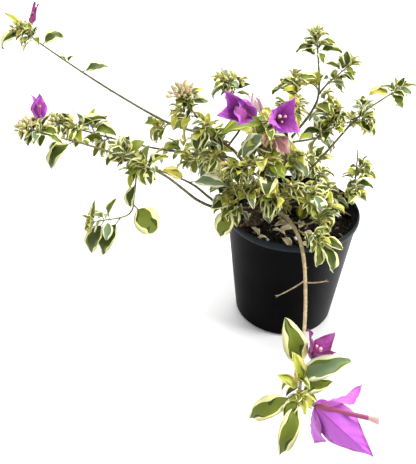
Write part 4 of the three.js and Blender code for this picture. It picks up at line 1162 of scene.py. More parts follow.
    def _leaf(
        self, cane: Cane, spur: Spur, index: int, share: float, chances: list[float], turned: float,
    ) -> Blade:
        """Lay one of a cluster's leaves, as the source does.

        Args:
            cane: The cane.
            spur: The cluster's spur.
            index: The leaf's number in the cluster.
            share: How far along the spur it stands.
            chances: Its five drawn numbers.
            turned: How far it is turned to find room.

        Returns:
            The placed leaf.
        """
        root = (cane.point(spur.share - spur.stretch * (1 - share)) if spur.on_stem
                else spur.start.lerp(spur.end, self.ROOT_SHARE + (1 - self.ROOT_SHARE) * share))
        across = (spur.station.across - spur.along * spur.station.across.dot(spur.along)).normalized()
        frame = Station(root, spur.along, across, across.cross(spur.along))
        turn = spur.turn + index * GOLDEN_TURN + turned + (chances[0] - 0.5) * self.TURN_PLAY
        spread = self.SPREAD - self.SPREAD_LOSS * share + (chances[1] - 0.5) * self.SPREAD_PLAY
        direction = frame.leaning(spread, turn) - UP * (self.DROOP + self.DROOP_PLAY * chances[2])
        length = spur.length * (1 - self.LENGTH_LOSS * share) * (0.86 + 0.28 * chances[3]) * self.FINER_LENGTH
        return laid_blade(root, direction, UP, length, (chances[4] - 0.5) * self.ROLL_PLAY)

    def _lay_lone(self, mass: Mass, owner: int) -> None:
        """Lay a mass's lone leaves, skipping each that meets a limb or another mass's twig.

        Args:
            mass: The mass.
            owner: Its number.
        """
        tints = self.lone_tints.get(mass.cane.spec.name, ())
        for index, (share, bearing, rise, length, breadth) in enumerate(mass.cane.spec.lone):
            leaf = laid_blade(mass.cane.point(share), headed(bearing, rise), self.LIGHT, length)
            leaf.breadth = breadth
            leaf.tint = tints[index] if index < len(tints) else (Tint.EDGED, Tint.BRIGHT)[index % 2]
            probes = leaf.probes()
            others = self.twigs.gaps(probes)[:, self.twigs.owners != owner]
            if self._is_clear(probes) and bool(np.all(others > self.LONE_CLEAR)):
                mass.leaves.append(leaf)
        mass.lone = len(mass.leaves)

    def _leaf_out(self, mass: Mass, owner: int) -> None:
        """Grow a mass's leaves, skipping each that finds no room.

        Args:
            mass: The mass.
            owner: Its number.
        """
        for spur in mass.spurs:
            count = spur.count if spur.count < self.SMALLEST_CLUSTER else round(spur.count * self.FINER)
            for index in range(count):
                chances = [mass.draw() for _ in range(5)]
                breadth = mass.draw.between(*self.BREADTHS)
                share = 0.5 if count == 1 else index / (count - 1)
                for tried in range(self.TURNS_TRIED):
                    turn = tried * math.tau / self.TURNS_TRIED
                    leaf = self._leaf(mass.cane, spur, index, share, chances, turn)
                    leaf.breadth = breadth
                    probes = leaf.probes()
                    if self._crowded(mass, probes[LEAF.OUTER:]) or not self._has_room(probes, owner):
                        continue
                    leaf.tint = self._tint(mass, share if count > 2 else 0.3)
                    mass.leaves.append(leaf)
                    break

    def _crowded(self, mass: Mass, points: np.ndarray) -> bool:
        """Tell whether a leaf's outer half lies in the outer half of a leaf that was laid shortly before.

        Args:
            mass: The leaf's mass.
            points: Points of the leaf's outer half.

        Returns:
            Whether it does.
        """
        lines = []
        for leaf in mass.leaves[-self.NEIGHBOURS:]:
            frame = np.array([leaf.across, leaf.along, leaf.upper]) * leaf.length
            ends = np.array(leaf.root) + LEAF.midline @ frame
            lines.append((Vector(ends[0]), Vector(ends[1]), 0, leaf.length * self.CROWDING))
        near = Segments(lines)
        return bool(lines) and bool(np.any(near.gaps(points) < near.radii))

    def _tint(self, mass: Mass, share: float) -> Tint:
        """Draw a leaf's colouring: those at a twig's tip are young, the others of all kinds.

        Args:
            mass: The leaf's mass.
            share: How far along its twig the leaf stands.

        Returns:
            The colouring.
        """
        chance = mass.draw()
        if share > self.TIP_SHARE:
            return Tint.YOUNG if chance < self.TIP_YOUNG else Tint.BRIGHT
        return next(tint for limit, tint in self.TINT_LIMITS if chance < limit)

    def _open_blooms(self, mass: Mass) -> None:
        """Set three bracts round each bloom's stalk, their upper sides in while the bloom is a cup.

        Args:
            mass: The mass.
        """
        for stalk in mass.stalks:
            frame = stalk.frame()
            for index in range(self.BRACTS):
                turn = index * math.tau / self.BRACTS + stalk.turn
                face = -frame.sideways(turn) if stalk.opening < self.CUPPED else stalk.axis
                root = stalk.end - stalk.axis * self.BRACT_SINK
                bract = laid_blade(root, frame.leaning(stalk.opening, turn), face, stalk.bract)
                bract.tint = stalk.state
                bract.breadth = (self.WITHERED_BREADTH if stalk.state in WITHERED
                                 else self.FURLED_BREADTH if stalk.opening < self.FURLED
                                 else self.CUPPED_BREADTH if stalk.opening < self.CUPPED
                                 else self.OPEN_BREADTH)
                mass.bracts.append(bract)


# --- meshes -------------------------------------------------------------------------------------------


@dataclass(frozen=True)
class Template:
    """A small shape that is laid many times over in one piece."""

    points: np.ndarray
    faces: tuple[tuple[int, ...], ...]
    roles: tuple[int, ...]

    @staticmethod
    def of(shape: bmesh.types.BMesh) -> "Template":
        """Take a shape's points, faces and each face's role, and free it.

        Args:
            shape: The finished shape, its roles held as material numbers.

        Returns:
            The template.
        """
        shape.verts.index_update()
        points = np.array([tuple(corner.co) for corner in shape.verts])
        faces = tuple(tuple(corner.index for corner in face.verts) for face in shape.faces)
        roles = tuple(face.material_index for face in shape.faces)
        shape.free()
        return Template(points, faces, roles)

    @staticmethod
    def laid_down(shape: bmesh.types.BMesh) -> "Template":
        """Take a shape that stands a unit high round its middle, laid down from its foot along +Y.

        Args:
            shape: The finished shape.

        Returns:
            The template.
        """
        bmesh.ops.rotate(shape, verts=shape.verts, matrix=Matrix.Rotation(-math.pi / 2, 3, "X"))
        bmesh.ops.translate(shape, verts=shape.verts, vec=(0, 0.5, 0))
        return Template.of(shape)


@dataclass(frozen=True)
class Ring:
    """One ring of a tube: its centre, the two directions that it lies in, its radius and its role."""

    centre: Vector
    across: Vector
    lift: Vector
    radius: float
    role: int = 0


def smooth_relief(_spot: Vector, _turn: float, radius: float) -> float:
    """Leave a ring's radius as it is."""
    return radius


def bark_relief(spot: Vector, turn: float, radius: float) -> float:
    """Roughen a limb with ridges along it and lumps across it.

    Args:
        spot: The point on the smooth limb, in millimetres.
        turn: Its turn round the limb.
        radius: The limb's radius there.

    Returns:
        The roughened radius.
    """
    along = spot.z * 0.05 + spot.x * 0.04
    ridges = noise.noise(Vector((math.cos(turn) * 1.8, math.sin(turn) * 1.8, along)))
    lumps = noise.noise(spot * 0.16)
    fine = noise.noise(spot * 0.7)
    return radius * (1 + 0.09 * ridges + 0.1 * lumps) + 0.12 * fine


def tube(rings: Sequence[Ring], sides: int, relief: Relief = smooth_relief) -> Template:
    """Wrap a grid round a run of rings and close its ends.

    Args:
        rings: The rings, in millimetres.
        sides: How many sides the tube has.
        relief: Gives the radius at a point, from the point, its turn and the ring's radius.

    Returns:
        The tube, its faces' roles those of their lower ring.
    """
    shape = bmesh.new()
    last = len(rings) - 1
    bmesh.ops.create_grid(shape, x_segments=sides, y_segments=last, size=1.0)
    rows: dict[bmesh.types.BMVert, int] = {}
    for corner in shape.verts:
        row = round((corner.co.y + 1) / 2 * last)
        turn = (corner.co.x + 1) * math.pi
        ring = rings[row]
        side = ring.across * math.cos(turn) + ring.lift * math.sin(turn)
        rough = relief(ring.centre + side * ring.radius, turn, ring.radius)
        corner.co = (ring.centre + side * rough) * METRES
        rows[corner] = row
    for face in shape.faces:
        face.material_index = rings[min(rows[corner] for corner in face.verts)].role
    bmesh.ops.remove_doubles(shape, verts=shape.verts, dist=SEAM)
    bmesh.ops.holes_fill(shape, edges=[edge for edge in shape.edges if edge.is_boundary], sides=sides + 1)
    bmesh.ops.recalc_face_normals(shape, faces=shape.faces)
    return Template.of(shape)


class Piece:
    """A joined mesh that stands for one kind of thing on the plant."""

    def __init__(self, name: str) -> None:
        """Start an empty piece.

        Args:
            name: Its name.
        """
        self.name = name
        self.finishes: list[Finish] = []
        self.points: list[np.ndarray] = []
        self.faces: list[tuple[int, ...]] = []
        self.slots: list[int] = []
        self.count = 0

    def lay(self, template: Template, placed: np.ndarray, finishes: Sequence[Finish]) -> None:
        """Add a copy of a template.

        Args:
            template: The shape.
            placed: Its four by four placing, in metres.
            finishes: The finish for each of the template's roles.
        """
        for finish in finishes:
            if finish not in self.finishes:
                self.finishes.append(finish)
        numbers = [self.finishes.index(finish) for finish in finishes]
        self.points.append(template.points @ placed[:3, :3].T + placed[:3, 3])
        self.faces += [tuple(corner + self.count for corner in face) for face in template.faces]
        self.slots += [numbers[role] for role in template.roles]
        self.count += len(template.points)

    def lay_twig(
        self, start: Vector, end: Vector, sag: Vector, thick: float = 0.85, finish: Finish = GREEN_STEM,
    ) -> None:
        """Add a short, slightly bowed twig.

        Args:
            start: Its root, in millimetres.
            end: Its tip.
            sag: The way that it bows.
            thick: Its radius at the root.
            finish: Its finish.
        """
        run = end - start
        across = run.orthogonal().normalized()
        lift = across.cross(run.normalized())
        rings = []
        for share in (step / TWIG_STEPS for step in range(TWIG_STEPS + 1)):
            bow = sag * math.sin(share * math.pi) * run.length * 0.05
            rings.append(Ring(start + run * share + bow, across, lift, thick * (1 - 0.4 * share)))
        self.lay(tube(rings, TWIG_SIDES), np.eye(4), (finish,))

    def build(self, slot: str, nodes: Sequence[str]) -> None:
        """Make the piece's object and put it in place of its nodes.

        Args:
            slot: The record's material slot; not used.
            nodes: The nodes that it stands for.
        """
        mesh = bpy.data.meshes.new(self.name)
        mesh.from_pydata(np.concatenate(self.points).tolist(), [], self.faces)
        for finish in self.finishes:
            mesh.materials.append(finish.material())
        mesh.polygons.foreach_set("material_index", self.slots)
        mesh.polygons.foreach_set("use_smooth", [True] * len(self.faces))
        mesh.update()
        made = bpy.data.objects.new(self.name, mesh)
        bpy.context.scene.collection.objects.link(made)
        adopt(made, nodes)


def object_of(name: str, shape: bmesh.types.BMesh) -> bpy.types.Object:
    """Turn a shape into a smooth object in the scene, and free it.

    Args:
        name: The object's name.
        shape: The shape, in metres.

    Returns:
        The object.
    """
    mesh = bpy.data.meshes.new(name)
    shape.to_mesh(mesh)
    shape.free()
    mesh.polygons.foreach_set("use_smooth", [True] * len(mesh.polygons))
    made = bpy.data.objects.new(name, mesh)
    bpy.context.scene.collection.objects.link(made)
    return made


def adopt(piece: bpy.types.Object, nodes: Sequence[str]) -> None:
    """Put a finished piece on the root body, in place of its nodes.

    Args:
        piece: The object.
        nodes: The nodes that it stands for.
    """
    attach(piece, "root")
    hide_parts(*nodes)
    LOG.info("%s: %d faces for %d nodes", piece.name, len(piece.data.polygons), len(nodes))


# --- blades -------------------------------------------------------------------------------------------


class Kind(Enum):
    """The kinds of blade: the clusters' small leaf, the broad lone leaf and the bract."""

    LEAF = "leaf"
    BROAD = "broad"
    BRACT = "bract"


@dataclass(frozen=True)
class BladeGrid:
    """A kind of blade before it is bent, in shares of its length, with its half width at each station."""

    columns: int
    stations: tuple[float, ...]
    outline: tuple[float, ...]
    stalk: float
    thickness: float = 0.012
    veins: float = 0.0
    vein_depth: float = 0.0


def even_stations(rows: int) -> tuple[float, ...]:
    """Give the places of evenly spaced rows."""
    return tuple(row / rows for row in range(rows + 1))


def bract_outline(stations: Sequence[float]) -> tuple[float, ...]:
    """Give a bract's half width at each station: heart-shaped at its root and drawn out at its tip.

    Args:
        stations: The shares of the blade's length.

    Returns:
        The shares of its greatest half width.
    """
    widths = [math.sin(math.pi * share**0.66) ** 0.78 * (1 - 0.3 * share**2) if 0 < share < 1 else 0.0
              for share in stations]
    return (0.14, *(width / max(widths) for width in widths[1:-1]), 0.0)


LEAF_OUTLINE = (0.07, 0.52, 0.88, 1.0, 0.9, 0.64, 0.3, 0.0)
LEAF_STATIONS = (0.0, 0.1, 0.24, 0.4, 0.58, 0.76, 0.91, 1.0)
BROAD_STATIONS = even_stations(18)
BROAD_OUTLINE = tuple(float(width) for width in np.interp(BROAD_STATIONS, LEAF_STATIONS, LEAF_OUTLINE))
BRACT_STATIONS = even_stations(34)

GRIDS = {
    Kind.LEAF: BladeGrid(4, LEAF_STATIONS, LEAF_OUTLINE, LEAF.STALK),
    Kind.BROAD: BladeGrid(8, BROAD_STATIONS, BROAD_OUTLINE, LEAF.STALK),
    Kind.BRACT: BladeGrid(20, BRACT_STATIONS, bract_outline(BRACT_STATIONS), 0.02, 0.006, 6.0, 0.014),
}


@dataclass(frozen=True)
class BladeShape:
    """How one pattern of leaf or bract curls, in radians and shares of its length."""

    kind: Kind
    width: float
    bend: float
    fold: float
    twist: float
    ripple: float
    margin: float = 0.0


class BentBlade:
    """A grid that is bent into a leaf or a bract, along +Y with its upper side at +Z."""

    FOLD_AT_RIB = 0.6
    ARCH_POWER = 1.25
    MARGIN_WAVER = (0.55, 1.5)
    MARGIN_LIMITS = (0.3, 0.93)
    STRAY_CREAM = 0.06
    RIB_REACH = 0.035
    RIB_END = 0.8

    def __init__(self, shape: BladeShape, draw: Draw) -> None:
        """Lay its midrib and draw its margins and waves.

        Args:
            shape: How it curls.
            draw: The numbers that its edge and margin waver by.
        """
        self.shape, self.draw = shape, draw
        self.grid = GRIDS[shape.kind]
        self.rows = len(self.grid.stations) - 1
        self.half_columns = self.grid.columns // 2
        self.midrib = [(0.0, 0.0, 0.0)]
        for before, after in zip(self.grid.stations, self.grid.stations[1:]):
            angle = -shape.bend * ((before + after) / 2) ** self.ARCH_POWER
            run, fall, _ = self.midrib[-1]
            step = after - before
            self.midrib.append((run + step * math.cos(angle), fall + step * math.sin(angle), angle))
        low, high = self.MARGIN_LIMITS
        self.margins = {
            (row, side): min(high, max(low, 1 - shape.margin * draw.between(*self.MARGIN_WAVER)))
            for row in range(self.rows + 1) for side in (-1, 1)
        }
        self.waves = [draw.between(-1, 1) for _ in range(4)]

    def template(self) -> Template:
        """Bend the grid and give it its colours, underside and stalk.

        Returns:
            The blade, a unit long without its stalk.
        """
        form = bmesh.new()
        bmesh.ops.create_grid(form, x_segments=self.grid.columns, y_segments=self.rows, size=1.0)
        for corner in form.verts:
            corner.co = self._bent(corner.co)
        for face in form.faces:
            face.material_index = self._role(face).value
        add_underside(form, self.grid.thickness)
        if self.shape.kind is not Kind.BRACT:
            self._add_stalk(form)
        run, fall, _ = self.midrib[-1]
        tip = Vector((0, self.grid.stalk + run, fall))
        level = Matrix.Rotation(-math.atan2(tip.z, tip.y), 3, "X") * ((1 + self.grid.stalk) / tip.length)
        bmesh.ops.transform(form, matrix=level.to_4x4(), verts=form.verts)
        return Template.of(form)

    def _bent(self, flat: Vector) -> Vector:
        """Bend one corner of the grid.

        Args:
            flat: Its place in the flat grid, from -1 to 1.

        Returns:
            Its place in the blade.
        """
        row = round((flat.y + 1) / 2 * self.rows)
        column = round((flat.x + 1) / 2 * self.grid.columns) - self.half_columns
        side = 1 if column > 0 else -1
        part = self.grid.stations[row]
        reach = self._reach(row, column, side)
        half = self.shape.width / 2 * self.grid.outline[row] * reach
        lean = self.shape.fold * (self.FOLD_AT_RIB + (1 - self.FOLD_AT_RIB) * reach)
        run, fall, angle = self.midrib[row]
        rise = half * math.sin(lean) + self._wave(part, reach, side)
        sideways = Vector((side * half * math.cos(lean), 0, rise))
        sideways = Matrix.Rotation(self.shape.twist * part, 3, "Y") @ sideways
        sideways = Matrix.Rotation(angle, 3, "X") @ sideways
        return Vector((0, self.grid.stalk + run, fall)) + sideways

    def _reach(self, row: int, column: int, side: int) -> float:
        """Work out how far out a corner lies; the inner columns follow the edges of the colours.

        Args:
            row: Its row.
            column: Its column, counted from the midrib.
            side: Its side of the midrib.

        Returns:
            The share of the half width.
        """
        away = abs(column)
        if self.shape.kind is Kind.LEAF and away == 1:
            return self.margins[(row, side)]
        if self.shape.kind is Kind.BRACT and away == 1:
            return self.RIB_REACH
        if self.shape.kind is Kind.BROAD and away:
            part = self.grid.stations[row]
            edge = 1 - self.shape.margin * (1 + 0.4 * math.sin(part * 9 + side * 2 + self.waves[2] * 3))
            edge += 0.05 * math.sin(part * 23 + side + self.waves[3] * 3)
            patch = edge - 0.08 - 0.15 * (1 + math.sin(part * 13 + side * self.waves[0] * 5))
            return (0.5 * patch, patch, edge, 1.0)[away - 1]
        return away / self.half_columns

    def _wave(self, part: float, reach: float, side: int) -> float:
        """Work out how far ripples and veins lift a corner.

        Args:
            part: Its share along the blade.
            reach: Its share of the half width.
            side: Its side of the midrib.

        Returns:
            The lift, as a share of the blade's length.
        """
        ripple = self.shape.ripple
        wave = ripple * reach**2 * math.sin(part * 9 + self.waves[0] * 3 + side * self.waves[1] * 2)
        vein = abs(math.sin((part * self.grid.veins - reach * 1.6) * math.pi))
        wave += self.grid.vein_depth * vein * math.sin(part * 3)
        return wave + ripple * 0.5 * reach * math.sin(part * 17 + self.waves[3] * 3 + side)

    def _role(self, face: bmesh.types.BMFace) -> Role:
        """Tell which of the blade's colours a face has.

        Args:
            face: A face of the grid.

        Returns:
            Its role.
        """
        across = self.grid.columns + 1
        columns = [corner.index % across for corner in face.verts]
        part = sum(self.grid.stations[corner.index // across] for corner in face.verts) / 4
        if self.shape.kind is Kind.BRACT:
            reach = abs(sum(columns) / 4 - self.half_columns) / self.half_columns
            if reach * self.half_columns < 1 and part < self.RIB_END:
                return Role.RIB
            pale = reach > 0.45 + 0.45 * math.sin(part * 4 + self.waves[2]) ** 2
            return Role.MARGIN if pale else Role.CENTRE
        if self.shape.kind is Kind.BROAD:
            outer = max(abs(column - self.half_columns) for column in columns)
            if outer == self.half_columns:
                return Role.MARGIN
            beside = outer == self.half_columns - 1
            patched = beside and math.sin(part * 7 + columns[0] + self.waves[1] * 3) > -0.3
            return Role.PATCH if patched else Role.CENTRE
        edged = 0 in columns or self.grid.columns in columns
        return Role.MARGIN if edged or self.draw() < self.STRAY_CREAM else Role.CENTRE

    def _add_stalk(self, form: bmesh.types.BMesh) -> None:
        """Add a leaf's own stalk.

        Args:
            form: The bent leaf.
        """
        stalk = self.grid.stalk
        stem = bmesh.ops.create_cone(form, segments=3, radius1=0.022, radius2=0.016, depth=stalk + 0.04)
        bmesh.ops.rotate(form, verts=stem["verts"], matrix=Matrix.Rotation(-math.pi / 2, 3, "X"))
        bmesh.ops.translate(form, verts=stem["verts"], vec=(0, stalk / 2 + 0.01, -0.008))
        for corner in stem["verts"]:
            for face in corner.link_faces:
                face.material_index = Role.RIB.value


def add_underside(form: bmesh.types.BMesh, thickness: float) -> None:
    """Give a sheet an underside that meets it all round its edge.

    Args:
        form: The sheet, its upper side outwards.
        thickness: How far apart the two are in the middle.
    """
    edge = {corner for corner in form.verts if corner.is_boundary}
    positions = {corner.co.to_tuple(PLACES_KEPT) for corner in edge}
    copied = bmesh.ops.duplicate(form, geom=[*form.verts, *form.edges, *form.faces])["geom"]
    faces = [part for part in copied if isinstance(part, bmesh.types.BMFace)]
    for corner in (part for part in copied if isinstance(part, bmesh.types.BMVert)):
        if corner.co.to_tuple(PLACES_KEPT) not in positions:
            corner.co.z -= thickness
    for face in faces:
        if face.material_index in (Role.CENTRE.value, Role.PATCH.value):
            face.material_index = Role.UNDER.value
    bmesh.ops.reverse_faces(form, faces=faces)
    bmesh.ops.remove_doubles(form, verts=form.verts, dist=BLADE_SEAM)


@dataclass(frozen=True)
class LeafRange:
    """How far one kind of leaf's patterns differ; bend is the first one's arch and the rise to the last's."""

    kind: Kind
    count: int
    width: Span
    bend: Span
    fold: Span
    twist: Span
    ripple: Span
    margin: Span

    def templates(self, draw: Draw) -> list[Template]:
        """Bend every pattern; the last ones arch the most.

        Args:
            draw: The run of numbers.

        Returns:
            The patterns.
        """
        first, rise = self.bend
        return [
            BentBlade(
                BladeShape(
                    self.kind, draw.between(*self.width), math.radians(first + rise * number / self.count),
                    draw.angle(*self.fold), draw.angle(*self.twist), draw.between(*self.ripple),
                    draw.between(*self.margin),
                ),
                draw,
            ).template()
            for number in range(self.count)
        ]


class LeafPatterns:
    """The patterns of leaf, bract, bud and floret that the plant is dressed with."""

    SEED = 77
    SMALL = LeafRange(Kind.LEAF, 18, (0.46, 0.6), (10, 110), (8, 46), (-45, 45), (0.015, 0.07), (0.22, 0.5))
    BROAD = LeafRange(Kind.BROAD, 10, (0.5, 0.62), (55, 60), (6, 30), (-16, 16), (0.015, 0.05), (0.24, 0.44))
    BRACT_PATTERNS = 6

    def __init__(self) -> None:
        """Bend every pattern."""
        draw = Draw(self.SEED)
        self.leaves = self.SMALL.templates(draw)
        self.broad_leaves = self.BROAD.templates(draw)
        self.bracts = [
            BentBlade(
                BladeShape(Kind.BRACT, draw.between(0.7, 0.84), draw.angle(-34, 16), draw.angle(6, 34),
                           draw.angle(-18, 18), draw.between(0.03, 0.06)),
                draw,
            ).template()
            for _ in range(self.BRACT_PATTERNS)
        ]

    @staticmethod
    def bud() -> Template:
        """Make a plump bud with a coloured point.

        Returns:
            The bud, a unit long along +Y.
        """
        form = bmesh.new()
        bmesh.ops.create_uvsphere(form, u_segments=6, v_segments=5, radius=0.5)
        for corner in form.verts:
            part = corner.co.z + 0.5
            plump = 0.72 - 0.34 * part + 0.12 * math.cos(3 * math.atan2(corner.co.y, corner.co.x))
            corner.co.x *= plump
            corner.co.y *= plump
        for face in form.faces:
            face.material_index = int(min(corner.co.z for corner in face.verts) > 0.05)
        return Template.laid_down(form)

    @staticmethod
    def floret() -> Template:
        """Make a floret: a slim tube that flares into a small mouth.

        Returns:
            The floret, a unit long along +Y.
        """
        form = bmesh.new()
        bmesh.ops.create_cone(form, cap_ends=True, segments=8, radius1=0.05, radius2=0.05, depth=1.0)
        sides = [edge for edge in form.edges if abs(edge.verts[0].co.z - edge.verts[1].co.z) > 0.5]
        bmesh.ops.subdivide_edges(form, edges=sides, cuts=5)
        for corner in form.verts:
            part = corner.co.z + 0.5
            mouth = 0.9 * (part - 0.82) / 0.18 if part > 0.82 else 0
            swell = 1.0 + 0.7 * math.exp(-((part - 0.15) / 0.14) ** 2) + mouth
            corner.co.x *= swell
            corner.co.y *= swell
        for face in form.faces:
            face.material_index = int(min(corner.co.z for corner in face.verts) > 0.3)
        return Template.laid_down(form)


# --- the plant ----------------------------------------------------------------------------------------


@dataclass
class Woodwork:
    """The trunk, boughs, stems, side twigs, snags and thorns, in millimetres."""

    canes: dict[str, Cane]
    masses: list[Mass]
    ring_step: float = 3.2
    bough_sides: int = 10
    stem_sides: int = 8
    trunk_sides: int = 28
    trunk_steps: int = 30
    buried: float = 2.0
    node_reach: float = 2.2
    node_swell: float = 0.28
    old_radius: float = 1.75
    young_radius: float = 0.98
    old_share: float = 0.06
    snag_radius: float = 0.95
    stub_radius: float = 0.6
    stub_length: float = 3.2
    thorn_seed: int = 911
    thorn_step: float = 27.0
    thorn_radius: float = 0.55
    thorn_span: Span = (0.06, 0.97)
    thorn_lengths: Span = (2.6, 6.0)

    def build(self) -> None:
        """Make the woody piece, the green one and the thorns."""
        wood, green, thorns = Piece("trunk_and_boughs"), Piece("stems"), Piece("thorns")
        self._trunk(wood)
        for cane in self.canes.values():
            if cane.spec.bough > 0:
                self._run(wood, cane, 0.0, cane.spec.bough, self.bough_sides)
            self._run(green, cane, cane.spec.bough, 1.0, self.stem_sides)
            for share, turn, length in cane.spec.snags:
                self._snag(wood, cane.station(share), turn, length)
        draw = Draw(self.thorn_seed)
        for mass in self.masses:
            for spur in mass.spurs:
                if not spur.on_stem:
                    green.lay_twig(spur.start, spur.end, spur.station.lift)
            self._thorns(thorns, mass.cane, draw)
        limbs = [f"{name}_bough" for name, cane in self.canes.items() if cane.spec.bough > 0]
        wood.build("bark", ["trunk", *limbs])
        masses = [mass.node for mass in self.masses]
        green.build("bark", masses)
        thorns.build("bark", masses)

    def _age(self, cane: Cane, share: float) -> int:
        """Tell how old a cane's bark is, by how thick it has grown; the front cane is tan all along.

        Args:
            cane: The cane.
            share: The share of its length.

        Returns:
            The number of its finish in BARKS.
        """
        if cane.spec.name == "front":
            return 1 if share > self.old_share else 0
        radius = cane.radius(share) + 0.12 * math.sin(share * 90)
        return 0 if radius > self.old_radius else 2 if radius > self.young_radius else 3

    def _run(self, piece: Piece, cane: Cane, low: float, high: float, sides: int) -> None:
        """Lay a stretch of cane, swollen at its nodes.

        Args:
            piece: The piece that it joins.
            cane: The cane.
            low: The share of its length where the stretch starts.
            high: The share where it ends.
            sides: How many sides it has.
        """
        count = max(3, round((high - low) * cane.length / self.ring_step))
        nodes = [share for share, _, _ in cane.spec.clusters]
        rings = []
        for step in range(count + 1):
            share = low + (high - low) * step / count
            spot = cane.station(share)
            swell = sum(math.exp(-(((share - node) * cane.length) / self.node_reach) ** 2) for node in nodes)
            radius = cane.radius(share) * (1 + self.node_swell * min(swell, 1.0))
            radius *= 0.35 if step == count and high == 1.0 else 1.0
            rings.append(Ring(spot.point, spot.across, spot.lift, radius, self._age(cane, share)))
        piece.lay(tube(rings, sides, bark_relief), np.eye(4), BARKS)

    def _trunk(self, piece: Piece) -> None:
        """Lay the trunk in level rings, with ribs that run out into its foot.

        Args:
            piece: The piece that it joins.
        """
        def ribbed(spot: Vector, turn: float, radius: float) -> float:
            """Raise the ribs over the bark.

            Args:
                spot: The point on the smooth trunk.
                turn: Its turn round the trunk.
                radius: The trunk's radius there.

            Returns:
                The ribbed radius.
            """
            height = spot.z - GROUND.base_height
            ribs = math.cos(3 * turn + 0.7) + 0.6 * math.cos(5 * turn + height * 0.05)
            return bark_relief(spot, turn, radius) + ribs * (0.35 + 1.5 * math.exp(-max(height, 0) / 6))

        rings = []
        closing = {self.trunk_steps: 0.72, self.trunk_steps - 1: 0.92}
        for step in range(self.trunk_steps + 1):
            height = -self.buried + (GROUND.trunk_height + 1.5) * step / self.trunk_steps
            radius = GROUND.trunk_radius(max(height, 0.0)) * closing.get(step, 1.0)
            rings.append(Ring(GROUND.trunk_point(height), Vector((1, 0, 0)), Vector((0, 1, 0)), radius))
        piece.lay(tube(rings, self.trunk_sides, ribbed), np.eye(4), (OLD_BARK,))

    def _snag(self, piece: Piece, spot: Station, turn: float, length: float) -> None:
        """Lay a short dead twig that forks at its tip.

        Args:
            piece: The piece that it joins.
            spot: Where it leaves its cane.
            turn: The way that it points.
            length: Its length.
        """
        heading = (spot.sideways(turn) + spot.along * 0.45).normalized()
        end = spot.point + heading * length
        piece.lay_twig(spot.point, end, spot.lift, self.snag_radius, TAN_BARK)
        for side in (-1, 1):
            stub = heading * 0.5 + spot.sideways(turn + side * 0.9) * 0.6
            tip = end + stub * self.stub_length
            piece.lay_twig(end - heading, tip, spot.lift, self.stub_radius, TAN_BARK)

    def _thorns(self, piece: Piece, cane: Cane, draw: Draw) -> None:
        """Set curved thorns along a cane.

        Args:
            piece: The piece that they join.
            cane: The cane.
            draw: The run of numbers.
        """
        first, last = self.thorn_span
        count = int(cane.length * 0.92 / self.thorn_step)
        for index in range(1, count + 1):
            share = first + index * self.thorn_step / cane.length * 0.92
            if share > last:
                continue
            spot = cane.station(share)
            side = spot.sideways(index * GOLDEN_TURN + draw())
            length = draw.between(*self.thorn_lengths)
            rings = []
            for part in (step / THORN_STEPS for step in range(THORN_STEPS + 1)):
                out = side * (cane.radius(share) * 0.6 + length * part)
                centre = spot.point + out - spot.along * part**2 * 1.1
                radius = self.thorn_radius * (1 - part * 0.93)
                rings.append(Ring(centre, spot.along, spot.along.cross(side), radius))
            piece.lay(tube(rings, TWIG_SIDES), np.eye(4), (THORN_TIP,))


@dataclass(frozen=True)
class BudHead:
    """A dome of buds at a cane's tip, in millimetres, with the shares of green and of pink-tipped ones."""

    cane: str
    count: int
    reach: float
    bud: float
    green: float
    pink: float


BUD_HEADS = (
    BudHead("budding", 34, 13.0, 6.6, 0.35, 0.8),
    BudHead("bloom_left", 18, 10.0, 6.0, 0.7, 0.5),
    BudHead("low_left", 18, 9.0, 6.0, 0.8, 0.1),
    BudHead("tuft_left", 22, 11.0, 6.5, 0.9, 0.0),
    BudHead("high_left", 14, 9.0, 5.5, 0.7, 0.2),
    BudHead("top", 12, 8.0, 6.0, 0.9, 0.0),
    BudHead("bloom_centre", 12, 9.0, 6.0, 0.8, 0.2),
)


